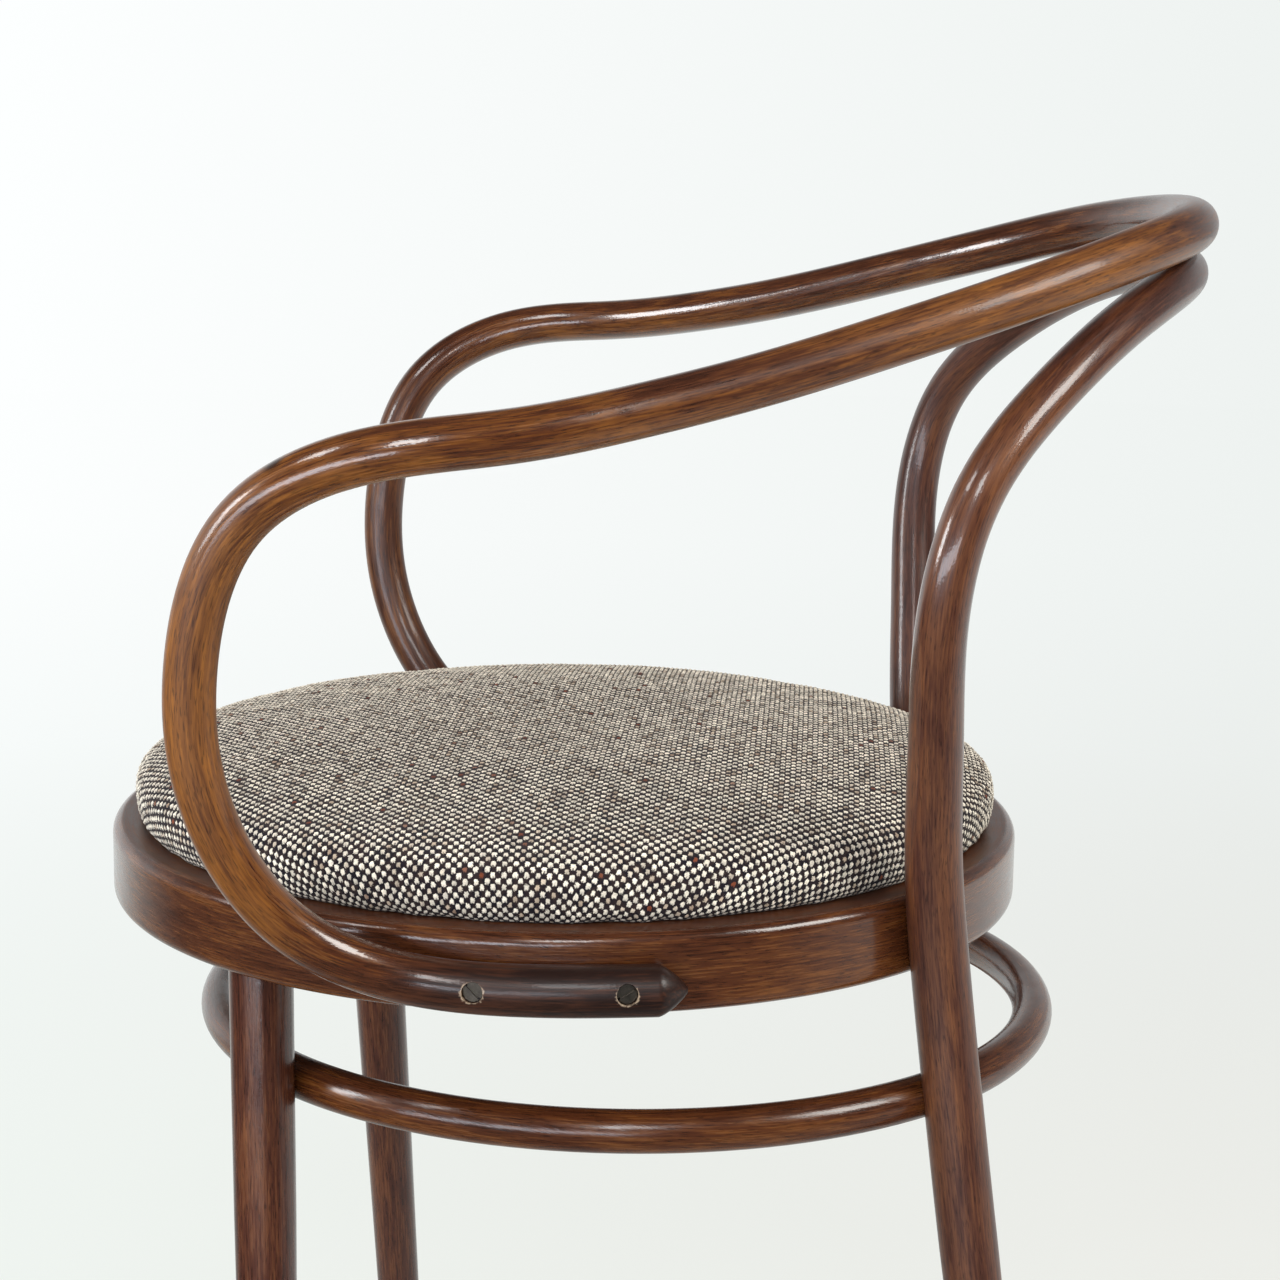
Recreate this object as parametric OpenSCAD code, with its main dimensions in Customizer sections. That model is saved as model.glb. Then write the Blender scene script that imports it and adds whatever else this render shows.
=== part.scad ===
// Steam-bent armchair: a round seat ring, one rod that makes both arms and the back rail, one rod that makes
// both rear legs and the inner arch, two turned front legs, a round leg hoop and a round upholstered pad.
// Millimetres. +Z is up, the sitter looks along -Y, and the origin is on the floor under the middle of the chair's
// width and depth. Every piece is laid out round the ring's axis first and then moved forwards by depth_middle.

/* [Seat ring] */
// Outer diameter of the seat ring
ring_d = 420; // [410:1:430]
// Height of the ring's top above the floor
seat_height = 460; // [450:1:475]
// Height of the ring's section
ring_h = 35; // [33:0.5:38]
// Width of the ring's section, from its outer face to its inner face
ring_w = 40; // [38:0.5:44]
// Rounding of the ring's edges
ring_round = 5; // [3:0.5:7]

/* [Arm and back rail] */
// Half the spread of the rod's guide points at the widest place of the arms
arm_half = 276; // [268:1:284]
// How far the front of the arm loops lies ahead of the ring's axis
loop_reach = 125; // [115:1:135]
// How far the back of the rail lies behind the ring's axis
rail_reach = 281; // [272:1:290]
// Rise of the rail's back above the foot of the arms
rail_rise = 300; // [288:1:312]
// Height of the foot of the arms above the ring's underside
arm_foot_lift = 13; // [12:0.5:16]
// How far outside the ring the guide points of the foot of the arms lie
arm_foot_out = 8; // [7:0.5:9]
// Turn about the ring's axis from the side to the rod's end, in degrees
arm_end_turn = 18; // [16:0.5:20]
// Radius of the rod in the arm loops
arm_r = 10.1; // [9:0.1:11]
// Radius of the rod in the back rail
rail_r = 10.9; // [10:0.1:12]
// Length of the taper at each end of the rod
nose_l = 12; // [8:1:16]

/* [Back bow and rear legs] */
// Turn about the ring's axis from the side to the rear legs, in degrees
rear_turn = 50.5; // [49:0.5:52]
// How far outside the ring the rear legs' guide points lie
rear_seat = 10.5; // [9.5:0.5:11.5]
// Radius of a rear leg at the ring
rear_leg_r = 12.6; // [12:0.1:13.2]
// Radius of a rear leg at the floor
rear_foot_r = 9.5; // [8.5:0.1:11]
// Radius of the bow under the rail
bow_r = 10.3; // [9.5:0.1:11]
// How far the rear feet stand outwards of the legs at the ring
rear_splay_side = 27; // [20:1:34]
// How far the rear feet stand behind the legs at the ring
rear_splay_back = 73; // [65:1:80]
// Half the spread of the bow's guide points at its widest place
bow_half = 182; // [178:1:186]
// How far the bow lies ahead of the rail where they meet
bow_set = 3; // [2:0.5:4]

/* [Front legs] */
// Turn about the ring's axis from the side to the front legs, in degrees
front_turn = -38; // [-40:0.5:-36]
// How far a front foot stands outwards of the leg's top
front_splay_side = 60; // [52:1:66]
// How far a front foot stands behind the leg's top
front_splay_back = 14; // [10:1:18]
// Radius of a front leg under the ring
front_leg_r = 13.8; // [13:0.1:14.4]
// Radius of a front leg at the floor
front_foot_r = 10; // [9:0.1:11.5]
// Radius of the tenon in the ring
tenon_r = 9; // [8:0.1:10]
// Length of the tenon
tenon_l = 26; // [22:1:28]

/* [Leg hoop] */
// Drop of the hoop's centre line below the ring's underside
hoop_drop = 54; // [47:1:61]
// How far the hoop's centre lies behind the ring's axis
hoop_back = 30; // [26:1:32]
// Radius of the hoop's rod
hoop_rod_r = 9.2; // [8.5:0.1:10]

/* [Pad] */
// Largest radius of the pad
pad_r = 197; // [194:1:199]
// Height of the pad's widest place above the ring
pad_waist = 17; // [16:0.5:20]
// Rise of the crown above the pad's widest place
pad_crown = 24; // [20:1:30]
// How far the pad draws in towards its underside
pad_tuck = 5; // [3:0.5:7]
// Thickness of the fabric cover with its lining
cover_t = 1.4; // [1:0.1:1.6]
// Radius of the plywood board
board_r = 190; // [187:1:190]
// Thickness of the plywood board
board_t = 10; // [8:0.5:12]
// Width of the cover's hem under the board
hem_w = 16; // [12:1:18]
// Thickness of the dust cover
dust_t = 0.6; // [0.4:0.1:0.8]

/* [Fixings] */
// Radius of the shank of the arm screws
arm_screw_r = 2.2; // [1.8:0.1:2.5]
// Radius of the head of the arm screws
arm_screw_head_r = 4; // [3.6:0.1:4.4]
// Length of the arm screws
arm_screw_l = 34; // [30:1:38]
// Turns about the ring's axis from the side to the arm screws, in degrees
arm_screw_turns = [-4.5, 11.25]; // [-8:0.25:14]
// Turns of the arm screws' slots from upright, in degrees
arm_slot_turns = [45, -60]; // [-90:5:90]
// Height of the arm screws above the middle of the rod's foot
arm_screw_lift = 1.5; // [0:0.5:2]
// Radius of the shank of the frame screws
frame_screw_r = 2; // [1.8:0.1:2.3]
// Radius of the head of the frame screws
frame_screw_head_r = 3.8; // [3.5:0.1:4.2]
// Length of the screws from the ring into the rear legs
rear_screw_l = 44; // [40:1:46]
// Distance between the two screws of a rear leg
rear_screw_pitch = 14; // [12:0.5:15]
// Length of the screws from the hoop into the legs
hoop_screw_l = 28; // [26:1:30]
// Length of the screws from the bow into the rail
bow_screw_l = 30; // [26:1:31]
// Distance between the screws of the bow
bow_screw_pitch = 40; // [34:1:44]
// Length of the screws through the ring into the pad's board
pad_screw_l = 32; // [30:1:34]
// Depth of the counterbore of the pad screws
pad_bore_l = 12; // [11:0.5:13]
// Distance of the pad screws from the ring's inner face
pad_screw_in = 10; // [8:0.5:14]
// Turns about the ring's axis from the side to the pad screws, in degrees
pad_screw_turns = [28, 152, 205, 335]; // [0:1:360]
// Length of the screws that lock the tenons
tenon_screw_l = 26; // [24:1:28]
// Radius of a foot glide
glide_r = 7; // [6:0.5:8]
// Height of a foot glide below the wood
glide_h = 3; // [2:0.5:4]
// Radius of a glide's nail
glide_pin_r = 1.6; // [1.2:0.1:2]
// Length of a glide's nail
glide_pin_l = 12; // [10:1:16]
// Number of staples round the dust cover
staple_count = 24; // [16:2:32]
// Length of a staple's crown
staple_l = 10; // [8:1:12]
// Thickness of a staple's wire
staple_t = 0.5; // [0.4:0.1:0.6]

/* [Hidden] */

// Clearance round a screw or a tenon in its hole
hole_gap = 0.1;
// Clearance between two pieces of wood that lie against each other
wood_gap = 0.2;
// Clearance between soft pieces and what they lie on
soft_gap = 0.3;
// Overrun of every cut past the face it opens
over = 1;
// How deep a screw's head is sunk below its counterbore's mouth
sink = 1.2;
// Width and depth of a screw's slot
slot_w = 1;
slot_d = 1.1;
// Height of a countersunk head
head_h = 2.6;
// Thickness left at the head end of a counterbore in the ring's inner face
inner_sink = 2;
// Sides of a round cut and sides and steps of a swept rod
round_fn = 72;
rod_sides = 16;
arm_steps = 5;
bow_steps = 4;
// Share of the full radius left at the tip of the arm rod
nose_share = 0.3;
// Shape of the crown: a higher power gives a flatter top
crown_power = 5;
crown_steps = 14;

ring_r = ring_d / 2;
ring_bottom = seat_height - ring_h;
ring_mid = seat_height - ring_h / 2;
hoop_height = ring_bottom - hoop_drop;
ring_inner = ring_r - ring_w;
band_r = ring_r - ring_w / 2;
pad_screw_run = ring_inner + pad_screw_in;
foot_z = ring_bottom + arm_foot_lift;

// Guide points of half the arm rod after its foot: share of arm_half, share of loop_reach where negative and
// of rail_reach where positive, share of rail_rise
arm_shares = [
    [0.845, -0.76, 0.085],
    [0.900, -0.99, 0.270],
    [0.930, -1.00, 0.465],
    [0.945, -0.87, 0.660],
    [1.000, -0.45, 0.750],
    [0.940, 0.000, 0.758],
    [0.830, 0.165, 0.785],
    [0.740, 0.335, 0.820],
    [0.650, 0.510, 0.868],
    [0.550, 0.695, 0.920],
    [0.410, 0.860, 0.970],
    [0.220, 0.970, 0.995],
    [0.000, 1.000, 1.000]];
// Turns of the first guide points, as shares of the turn of the rod's end
arm_foot_shares = [1, 0.16, -0.7];
arm_foot_points = [for (s = arm_foot_shares) at_turn(ring_r + arm_foot_out, s * arm_end_turn, foot_z)];
arm_half_points = concat(arm_foot_points, [for (s = arm_shares)
    [s[0] * arm_half, s[1] * (s[1] < 0 ? loop_reach : rail_reach), foot_z + s[2] * rail_rise]]);
arm_points = mirrored_route(arm_half_points);
// Distance from the ring's axis to the middle of the whole depth, from the ring's front to the back of the rail
depth_middle = (spline(arm_points, len(arm_half_points) - 1)[1] + rail_r - ring_r) / 2;

// Guide points of a rear leg from the floor to the ring: shares of the side splay, of the back splay and of the
// height of the ring's middle
rear_shares = [
    [1.00, 1.000, 0.000],
    [1.00, 0.810, 0.135],
    [0.92, 0.645, 0.270],
    [0.77, 0.505, 0.405],
    [0.58, 0.370, 0.540],
    [0.38, 0.245, 0.680],
    [0.19, 0.135, 0.815],
    [0.00, 0.030, 0.950]];
// Guide points of the bow over the ring: shares of the way from the leg to bow_half, from the leg to the rail's
// back and from the ring's middle to the rail's top
bow_shares = [
    [0.15, -0.04, 0.120],
    [0.60, -0.04, 0.306],
    [1.00, -0.06, 0.492],
    [1.00, 0.05, 0.672],
    [0.30, 0.32, 0.783],
    [-0.70, 0.62, 0.875]];
rear_point = at_turn(ring_r + rear_seat, rear_turn, ring_mid);
rail_top = foot_z + rail_rise;
bow_drop = sqrt(pow(rail_r + bow_r + wood_gap, 2) - pow(bow_set, 2));
rail_tail = [for (i = [2, 1]) arm_half_points[len(arm_half_points) - i]];
bow_half_points = concat(
    [for (s = rear_shares) [rear_point[0] + s[0] * rear_splay_side, rear_point[1] + s[1] * rear_splay_back,
        s[2] * ring_mid]],
    [for (s = bow_shares) [rear_point[0] + s[0] * (bow_half - rear_point[0]),
        rear_point[1] + s[1] * (rail_reach - rear_point[1]), ring_mid + s[2] * (rail_top - ring_mid)]],
    [for (p = rail_tail) p + [0, -bow_set, -bow_drop]]);
bow_points = mirrored_route(bow_half_points);
// Heights at which the bow's radius is set, as shares of the way from the ring to the rail, and the share of the
// taper from rear_leg_r to bow_r that is done there
bow_taper_shares = [[0, 0], [0.3, 0.45], [0.65, 1], [1, 1]];
// Share of the rear leg's height over which it keeps its full radius
leg_full_share = 0.3;

// Front leg: top and foot of its axis
front_top = at_turn(band_r, front_turn, ring_bottom);
front_foot = [front_top[0] + front_splay_side, front_top[1] + front_splay_back, 0];
front_axis = front_top - front_foot;
front_l = norm(front_axis);
// Heights along a front leg and the radius there, as shares of its length and of the taper
front_taper_shares = [[0, 0], [0.4, 0.42], [0.75, 0.86], [1, 1]];

// Leg hoop: it lies just inside the front legs, and the rear legs are housed round it
hoop_share = hoop_height / ring_bottom;
front_at_hoop = front_foot + front_axis * hoop_share;
front_r_at_hoop = lookup(hoop_share, front_taper_shares) * (front_leg_r - front_foot_r) + front_foot_r;
hoop_centre = [0, hoop_back, hoop_height];
hoop_r = norm(front_at_hoop - hoop_centre) - front_r_at_hoop - hoop_rod_r - wood_gap;
rear_at_hoop = spline_at_height(bow_points, hoop_height, 0, len(rear_shares));
rear_at_ring = spline_at_height(bow_points, ring_mid, 0, len(rear_shares) + 1);

// Pad: heights of its layers
hem_bottom = seat_height;
board_bottom = hem_bottom + cover_t + soft_gap;
board_top = board_bottom + board_t;
waist_z = seat_height + pad_waist;
hem_inner = board_r - hem_w;
dust_r = ring_inner - soft_gap;
staple_r = dust_r - staple_l / 2;

function at_turn(r, turn, z) = [r * cos(turn), r * sin(turn), z];
function unit(v) = v / norm(v);
function flip_x(p) = [-p[0], p[1], p[2]];
function mirrored_route(half) = concat(half, [for (i = [len(half) - 2:-1:0]) flip_x(half[i])]);
function clamp(v, low, high) = max(low, min(high, v));

// Uniform cubic spline that starts and ends on the first and last guide point
function guide(p, i) = i < 0 ? 2 * p[0] - p[1] : i >= len(p) ? 2 * p[len(p) - 1] - p[len(p) - 2] : p[i];
function spline(p, u) =
    let (k = clamp(floor(u), 0, len(p) - 2), t = u - k)
    (pow(1 - t, 3) * guide(p, k - 1) + (3 * pow(t, 3) - 6 * t * t + 4) * guide(p, k)
        + (-3 * pow(t, 3) + 3 * t * t + 3 * t + 1) * guide(p, k + 1) + pow(t, 3) * guide(p, k + 2)) / 6;
// Point of a rising stretch of the spline at a given height, found by halving
function spline_at_height(p, z, low, high, n = 24) =
    let (mid = (low + high) / 2)
    n == 0 ? spline(p, mid)
        : spline(p, mid)[2] < z ? spline_at_height(p, z, mid, high, n - 1)
        : spline_at_height(p, z, low, mid, n - 1);

// Radius of the arm rod at u, counted from its nearer end
function arm_radius(u, last) =
    let (v = min(u, last - u), run = norm(arm_points[1] - arm_points[0]), half = last / 2)
    (arm_r + (rail_r - arm_r) * clamp(v / half, 0, 1))
        * (nose_share + (1 - nose_share) * clamp(v * run / nose_l, 0, 1));
// Radius of the bow at a height
function bow_radius(z) = z < ring_mid
    ? rear_foot_r + (rear_leg_r - rear_foot_r) * clamp(z / ring_mid / (1 - leg_full_share), 0, 1)
    : rear_leg_r - (rear_leg_r - bow_r) * lookup((z - ring_mid) / (rail_top - bow_drop - ring_mid),
        bow_taper_shares);

// Rod with a round section of given radii swept along points, the section carried along without twist
module swept_rod(points, radii) {
    last = len(points) - 1;
    tangents = [for (i = [0:last]) unit(points[min(i + 1, last)] - points[max(i - 1, 0)])];
    side = unit(cross(tangents[0], [0, 0, 1]));
    sides = [for (i = 0, n = side; i <= last;
        n = unit(n - (n * tangents[min(i + 1, last)]) * tangents[min(i + 1, last)]), i = i + 1) n];
    corners = [for (i = [0:last], j = [0:rod_sides - 1])
        let (a = 360 * j / rod_sides)
        points[i] + radii[i] * (cos(a) * sides[i] + sin(a) * cross(tangents[i], sides[i]))];
    walls = [for (i = [0:last - 1], j = [0:rod_sides - 1])
        let (a = i * rod_sides + j, b = i * rod_sides + (j + 1) % rod_sides)
        each [[a, a + rod_sides, b], [b, a + rod_sides, b + rod_sides]]];
    ends = [[for (j = [0:rod_sides - 1]) j],
        [for (j = [rod_sides - 1:-1:0]) last * rod_sides + j]];
    polyhedron(corners, concat(walls, ends), convexity = 12);
}

// Turns the +Z axis of what follows to a direction, with a turn about that axis, and moves it to a point
module aimed(place, direction, turn = 90) {
    translate(place)
        rotate([0, acos(direction[2] / norm(direction)), atan2(direction[1], direction[0])])
            rotate([0, 0, turn])
                children();
}

// Slotted wood screw along -Z with the flat of its head at zero
module wood_screw(shank_r, head_r, length) {
    difference() {
        union() {
            translate([0, 0, -head_h])
                cylinder(r1 = shank_r, r2 = head_r, h = head_h, $fn = round_fn);
            translate([0, 0, -length + shank_r])
                cylinder(r = shank_r, h = length - shank_r - head_h, $fn = round_fn);
            translate([0, 0, -length])
                cylinder(r1 = slot_w / 2, r2 = shank_r, h = shank_r, $fn = round_fn);
        }
        translate([-head_r - over, -slot_w / 2, -slot_d])
            cube([2 * (head_r + over), slot_w, slot_d + over]);
    }
}

// Cut for a wood screw along -Z: shank hole, countersink and a counterbore of a given length over it
module screw_cut(shank_r, head_r, length, bore_l) {
    translate([0, 0, -length - hole_gap])
        cylinder(r = shank_r + hole_gap, h = length + hole_gap, $fn = round_fn);
    translate([0, 0, -head_h - hole_gap])
        cylinder(r1 = shank_r + hole_gap, r2 = head_r + hole_gap, h = head_h + hole_gap, $fn = round_fn);
    cylinder(r = head_r + hole_gap, h = bore_l, $fn = round_fn);
}

// Bar section with four rounded corners
module rounded_bar(left, right, bottom, top, r) {
    translate([left + r, bottom])
        square([right - left - 2 * r, top - bottom]);
    translate([left, bottom + r])
        square([right - left, top - bottom - 2 * r]);
    for (x = [left + r, right - r], y = [bottom + r, top - r])
        translate([x, y])
            circle(r = r, $fn = round_fn);
}

// Places of the screws, each as a point on the flat of the head and the direction out of the wood
arm_head_r = ring_r + arm_foot_out + arm_r - 2 * sink - slot_d;
function arm_screw_place(turn) = at_turn(arm_head_r, turn, foot_z + arm_screw_lift);
rear_head_r = ring_inner + inner_sink;
rear_radial = unit([rear_at_ring[0], rear_at_ring[1], 0]);
function rear_screw_place(side) = rear_radial * rear_head_r + [0, 0, ring_mid + side * rear_screw_pitch / 2];
front_radial = at_turn(1, front_turn, 0);
tenon_screw_place = front_radial * (ring_inner + inner_sink) + [0, 0, ring_mid];
front_hoop_out = unit(front_at_hoop - hoop_centre);
rear_hoop_out = unit(rear_at_hoop - hoop_centre);
hoop_head_r = hoop_r - hoop_rod_r + sink;
bow_screw_shares = [-1, 0, 1];
function bow_screw_place(s) =
    let (x = s * bow_screw_pitch, p = spline_at_side(bow_points, x, len(bow_half_points) - 1))
    [x, p[1], p[2] - bow_r + 2 * sink];
// Point of the bow near its middle at a given side distance, found by halving
function spline_at_side(p, x, mid_u, low = -1.5, high = 1.5, n = 24) =
    let (m = (low + high) / 2)
    n == 0 ? spline(p, mid_u + m)
        : spline(p, mid_u + m)[0] > x ? spline_at_side(p, x, mid_u, m, high, n - 1)
        : spline_at_side(p, x, mid_u, low, m, n - 1);

// Moves a piece from the ring's axis to the origin
module centred() {
    translate([0, -depth_middle, 0])
        children();
}

module both_sides() {
    children();
    mirror([1, 0, 0])
        children();
}

module arm_screw_cuts() {
    for (turn = arm_screw_turns)
        aimed(arm_screw_place(turn), at_turn(1, turn, 0))
            screw_cut(arm_screw_r, arm_screw_head_r, arm_screw_l, arm_r);
}

module rear_screw_cuts() {
    for (side = [-1, 1])
        aimed(rear_screw_place(side), -rear_radial)
            screw_cut(frame_screw_r, frame_screw_head_r, rear_screw_l, inner_sink + over);
}

module tenon_screw_cuts() {
    aimed(tenon_screw_place, -front_radial)
        screw_cut(frame_screw_r, frame_screw_head_r, tenon_screw_l, inner_sink + over);
}

module hoop_screw_cuts(out) {
    aimed(hoop_centre + out * hoop_head_r, -out)
        screw_cut(frame_screw_r, frame_screw_head_r, hoop_screw_l, hoop_rod_r);
}

module bow_screw_cuts() {
    for (s = bow_screw_shares)
        aimed(bow_screw_place(s), [0, 0, -1])
            screw_cut(frame_screw_r, frame_screw_head_r, bow_screw_l, bow_r);
}

module pad_screw_cuts() {
    for (turn = pad_screw_turns)
        aimed(at_turn(pad_screw_run, turn, ring_bottom + pad_bore_l), [0, 0, -1])
            screw_cut(frame_screw_r, frame_screw_head_r, pad_screw_l, pad_bore_l + over);
}

// Steam-bent ring with the two tenon holes and all screw holes
module seat_ring() {
    color("#4a2a1c")
        centred()
            difference() {
                rotate_extrude($fn = round_fn)
                    rounded_bar(ring_inner, ring_r, ring_bottom, seat_height, ring_round);
                both_sides() {
                    aimed(front_top, front_axis)
                        translate([0, 0, -tenon_r])
                            cylinder(r = tenon_r + hole_gap, h = tenon_l + tenon_r + hole_gap, $fn = round_fn);
                    arm_screw_cuts();
                    rear_screw_cuts();
                    tenon_screw_cuts();
                }
                pad_screw_cuts();
            }
}

// Arm and rail rod: its ends lie flat against the ring's outer face
module arm_bow() {
    last = len(arm_points) - 1;
    steps = last * arm_steps;
    color("#7a4a24")
        centred()
            difference() {
                swept_rod([for (i = [0:steps]) spline(arm_points, i / arm_steps)],
                    [for (i = [0:steps]) arm_radius(i / arm_steps, last)]);
                translate([0, 0, ring_bottom - arm_r])
                    cylinder(r = ring_r + wood_gap, h = ring_h + arm_r, $fn = round_fn);
                both_sides()
                    arm_screw_cuts();
                bow_screw_cuts();
            }
}

// Back bow and rear legs: cut level at the feet, and housed against the ring and round the hoop
module back_bow() {
    last = len(bow_points) - 1;
    steps = last * bow_steps;
    path = [for (i = [0:steps]) spline(bow_points, i / bow_steps)];
    color("#6b3d20")
        centred()
            difference() {
                swept_rod(path, [for (p = path) bow_radius(p[2])]);
                translate([-2 * ring_d, -2 * ring_d, -ring_d])
                    cube([4 * ring_d, 4 * ring_d, ring_d + glide_h]);
                translate([0, 0, ring_bottom - wood_gap])
                    cylinder(r = ring_r + wood_gap, h = ring_h + 2 * wood_gap, $fn = round_fn);
                translate(hoop_centre)
                    rotate_extrude($fn = round_fn)
                        translate([hoop_r, 0])
                            circle(r = hoop_rod_r + wood_gap, $fn = round_fn);
                both_sides() {
                    rear_screw_cuts();
                    hoop_screw_cuts(rear_hoop_out);
                    glide_cut(rear_foot_place);
                }
                bow_screw_cuts();
            }
}

// Turned front leg, splayed outwards, cut level at both ends, with a round tenon
module front_leg() {
    difference() {
        union() {
            intersection() {
                aimed(front_foot, front_axis)
                    translate([0, 0, -front_leg_r])
                        rotate_extrude($fn = round_fn)
                            polygon(concat([[0, 0], [front_foot_r, 0]],
                                [for (s = front_taper_shares) [front_foot_r + s[1] * (front_leg_r - front_foot_r),
                                    front_leg_r + s[0] * front_l]],
                                [[front_leg_r, 2 * front_leg_r + front_l], [0, 2 * front_leg_r + front_l]]));
                translate([front_top[0] - front_l / 2, front_top[1] - front_l / 2, glide_h])
                    cube([front_l, front_l, ring_bottom - glide_h]);
            }
            aimed(front_top, front_axis)
                translate([0, 0, -tenon_r])
                    cylinder(r = tenon_r, h = tenon_l + tenon_r, $fn = round_fn);
        }
        tenon_screw_cuts();
        hoop_screw_cuts(front_hoop_out);
        glide_cut(front_foot_place);
    }
}

module front_leg_left() {
    color("#5d3420")
        centred()
            front_leg();
}

module front_leg_right() {
    color("#5d3420")
        centred()
            mirror([1, 0, 0])
                front_leg();
}

// Round hoop inside the four legs
module leg_hoop() {
    color("#4a2418")
        centred()
            difference() {
                translate(hoop_centre)
                    rotate_extrude($fn = round_fn)
                        translate([hoop_r, 0])
                            circle(r = hoop_rod_r, $fn = round_fn);
                both_sides() {
                    hoop_screw_cuts(front_hoop_out);
                    hoop_screw_cuts(rear_hoop_out);
                }
            }
}

// Places of the feet on the floor
front_foot_place = front_foot + front_axis * (glide_h / ring_bottom);
rear_foot_place = spline_at_height(bow_points, glide_h, 0, len(rear_shares));

module glide_cut(place) {
    translate([place[0], place[1], glide_h - over])
        cylinder(r = glide_pin_r + hole_gap, h = glide_pin_l + over + hole_gap, $fn = round_fn);
}

module glide(place) {
    translate([place[0], place[1], 0])
        cylinder(r = glide_r, h = glide_h, $fn = round_fn);
    translate([place[0], place[1], glide_h / 2])
        cylinder(r = glide_pin_r, h = glide_h / 2 + glide_pin_l, $fn = round_fn);
}

module foot_glides() {
    color("#8d9093")
        centred()
            both_sides() {
                glide(front_foot_place);
                glide(rear_foot_place);
            }
}

// Outline of the pad from its widest place to the crown: share of the way in, share of the way up
function crown_at(share) = pow(1 - pow(share, crown_power), 0.5);
crown_shares = [for (i = [0:crown_steps]) sin(90 * (1 - i / crown_steps))];
// Outline of the pad's lower edge, as shares of the tuck and of the waist's height
tuck_shares = [[1, 0], [0.62, 0.2], [0.3, 0.45], [0.08, 0.75]];
function pad_outline(in, base) = concat(
    [for (s = tuck_shares) [pad_r - in - s[0] * pad_tuck, base + s[1] * (waist_z - base)]],
    [for (s = crown_shares) [(pad_r - in) * s, waist_z + (pad_crown - in) * crown_at(s)]]);

// Round plywood board with pilot holes for the pad screws
module seat_board() {
    color("#c8a97c")
        centred()
            difference() {
                translate([0, 0, board_bottom])
                    cylinder(r = board_r, h = board_t, $fn = round_fn);
                pad_screw_cuts();
            }
}

// Foam on the board, drawn in at its lower edge and crowned on top
module seat_foam() {
    in = cover_t + soft_gap;
    color("#e8dfc6")
        centred()
            difference() {
                rotate_extrude($fn = round_fn)
                    polygon(concat([[0, board_bottom]], pad_outline(in, board_bottom)));
                translate([0, 0, board_bottom - over])
                    cylinder(r = board_r + soft_gap, h = board_t + over + soft_gap, $fn = round_fn);
                pad_screw_cuts();
            }
}

// Fabric cover over the foam, turned under the board as a hem
module seat_cover() {
    color("#8f8378")
        centred()
            difference() {
                rotate_extrude($fn = round_fn)
                    polygon(concat([[0, hem_bottom]], pad_outline(0, hem_bottom)));
                rotate_extrude($fn = round_fn)
                    polygon(concat([[0, hem_bottom + cover_t]], pad_outline(cover_t, hem_bottom + cover_t)));
                translate([0, 0, hem_bottom - over])
                    cylinder(r = hem_inner, h = cover_t + 2 * over, $fn = round_fn);
                pad_screw_cuts();
            }
}

// Thin cloth under the board, inside the ring
module dust_cover() {
    color("#2b2a2c")
        centred()
            translate([0, 0, board_bottom - dust_t])
                cylinder(r = dust_r, h = dust_t, $fn = round_fn);
}

// Crowns of the staples that hold the dust cover
module cover_staples() {
    color("#b9bcc0")
        centred()
            for (i = [0:staple_count - 1])
                rotate([0, 0, 360 * (i + 1 / 2) / staple_count])
                    translate([staple_r - staple_t, -staple_l / 2, board_bottom - dust_t - staple_t])
                        cube([2 * staple_t, staple_l, staple_t]);
}

module arm_screws() {
    for (i = [0:len(arm_screw_turns) - 1])
        aimed(arm_screw_place(arm_screw_turns[i]), at_turn(1, arm_screw_turns[i], 0), arm_slot_turns[i])
            wood_screw(arm_screw_r, arm_screw_head_r, arm_screw_l);
}

module arm_screws_left() {
    color("#6a6660")
        centred()
            arm_screws();
}

module arm_screws_right() {
    color("#6a6660")
        centred()
            mirror([1, 0, 0])
                arm_screws();
}

module rear_leg_screws() {
    color("#6a6660")
        centred()
            both_sides()
                for (side = [-1, 1])
                    aimed(rear_screw_place(side), -rear_radial)
                        wood_screw(frame_screw_r, frame_screw_head_r, rear_screw_l);
}

module tenon_screws() {
    color("#6a6660")
        centred()
            both_sides()
                aimed(tenon_screw_place, -front_radial)
                    wood_screw(frame_screw_r, frame_screw_head_r, tenon_screw_l);
}

module hoop_screws() {
    color("#6a6660")
        centred()
            both_sides()
                for (out = [front_hoop_out, rear_hoop_out])
                    aimed(hoop_centre + out * hoop_head_r, -out)
                        wood_screw(frame_screw_r, frame_screw_head_r, hoop_screw_l);
}

module bow_screws() {
    color("#6a6660")
        centred()
            for (s = bow_screw_shares)
                aimed(bow_screw_place(s), [0, 0, -1])
                    wood_screw(frame_screw_r, frame_screw_head_r, bow_screw_l);
}

module pad_screws() {
    color("#6a6660")
        centred()
            for (turn = pad_screw_turns)
                aimed(at_turn(pad_screw_run, turn, ring_bottom + pad_bore_l), [0, 0, -1])
                    wood_screw(frame_screw_r, frame_screw_head_r, pad_screw_l);
}

seat_ring();
arm_bow();
back_bow();
front_leg_left();
front_leg_right();
leg_hoop();
seat_board();
seat_foam();
seat_cover();
dust_cover();
cover_staples();
arm_screws_left();
arm_screws_right();
rear_leg_screws();
tenon_screws();
hoop_screws();
bow_screws();
pad_screws();
foot_glides();
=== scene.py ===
"""Looks of a steam-bent armchair: smooth bent rods, a woven round pad, varnished wood, steel and the studio.

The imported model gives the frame. Rods, ring, pad and foam are numpy surfaces that take the place of CAD nodes, and
every other node keeps its mesh and gets a material. Metres, +Z up, the sitter looks along -Y."""

from functools import partial
from math import cos, pi, radians, sin

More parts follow.
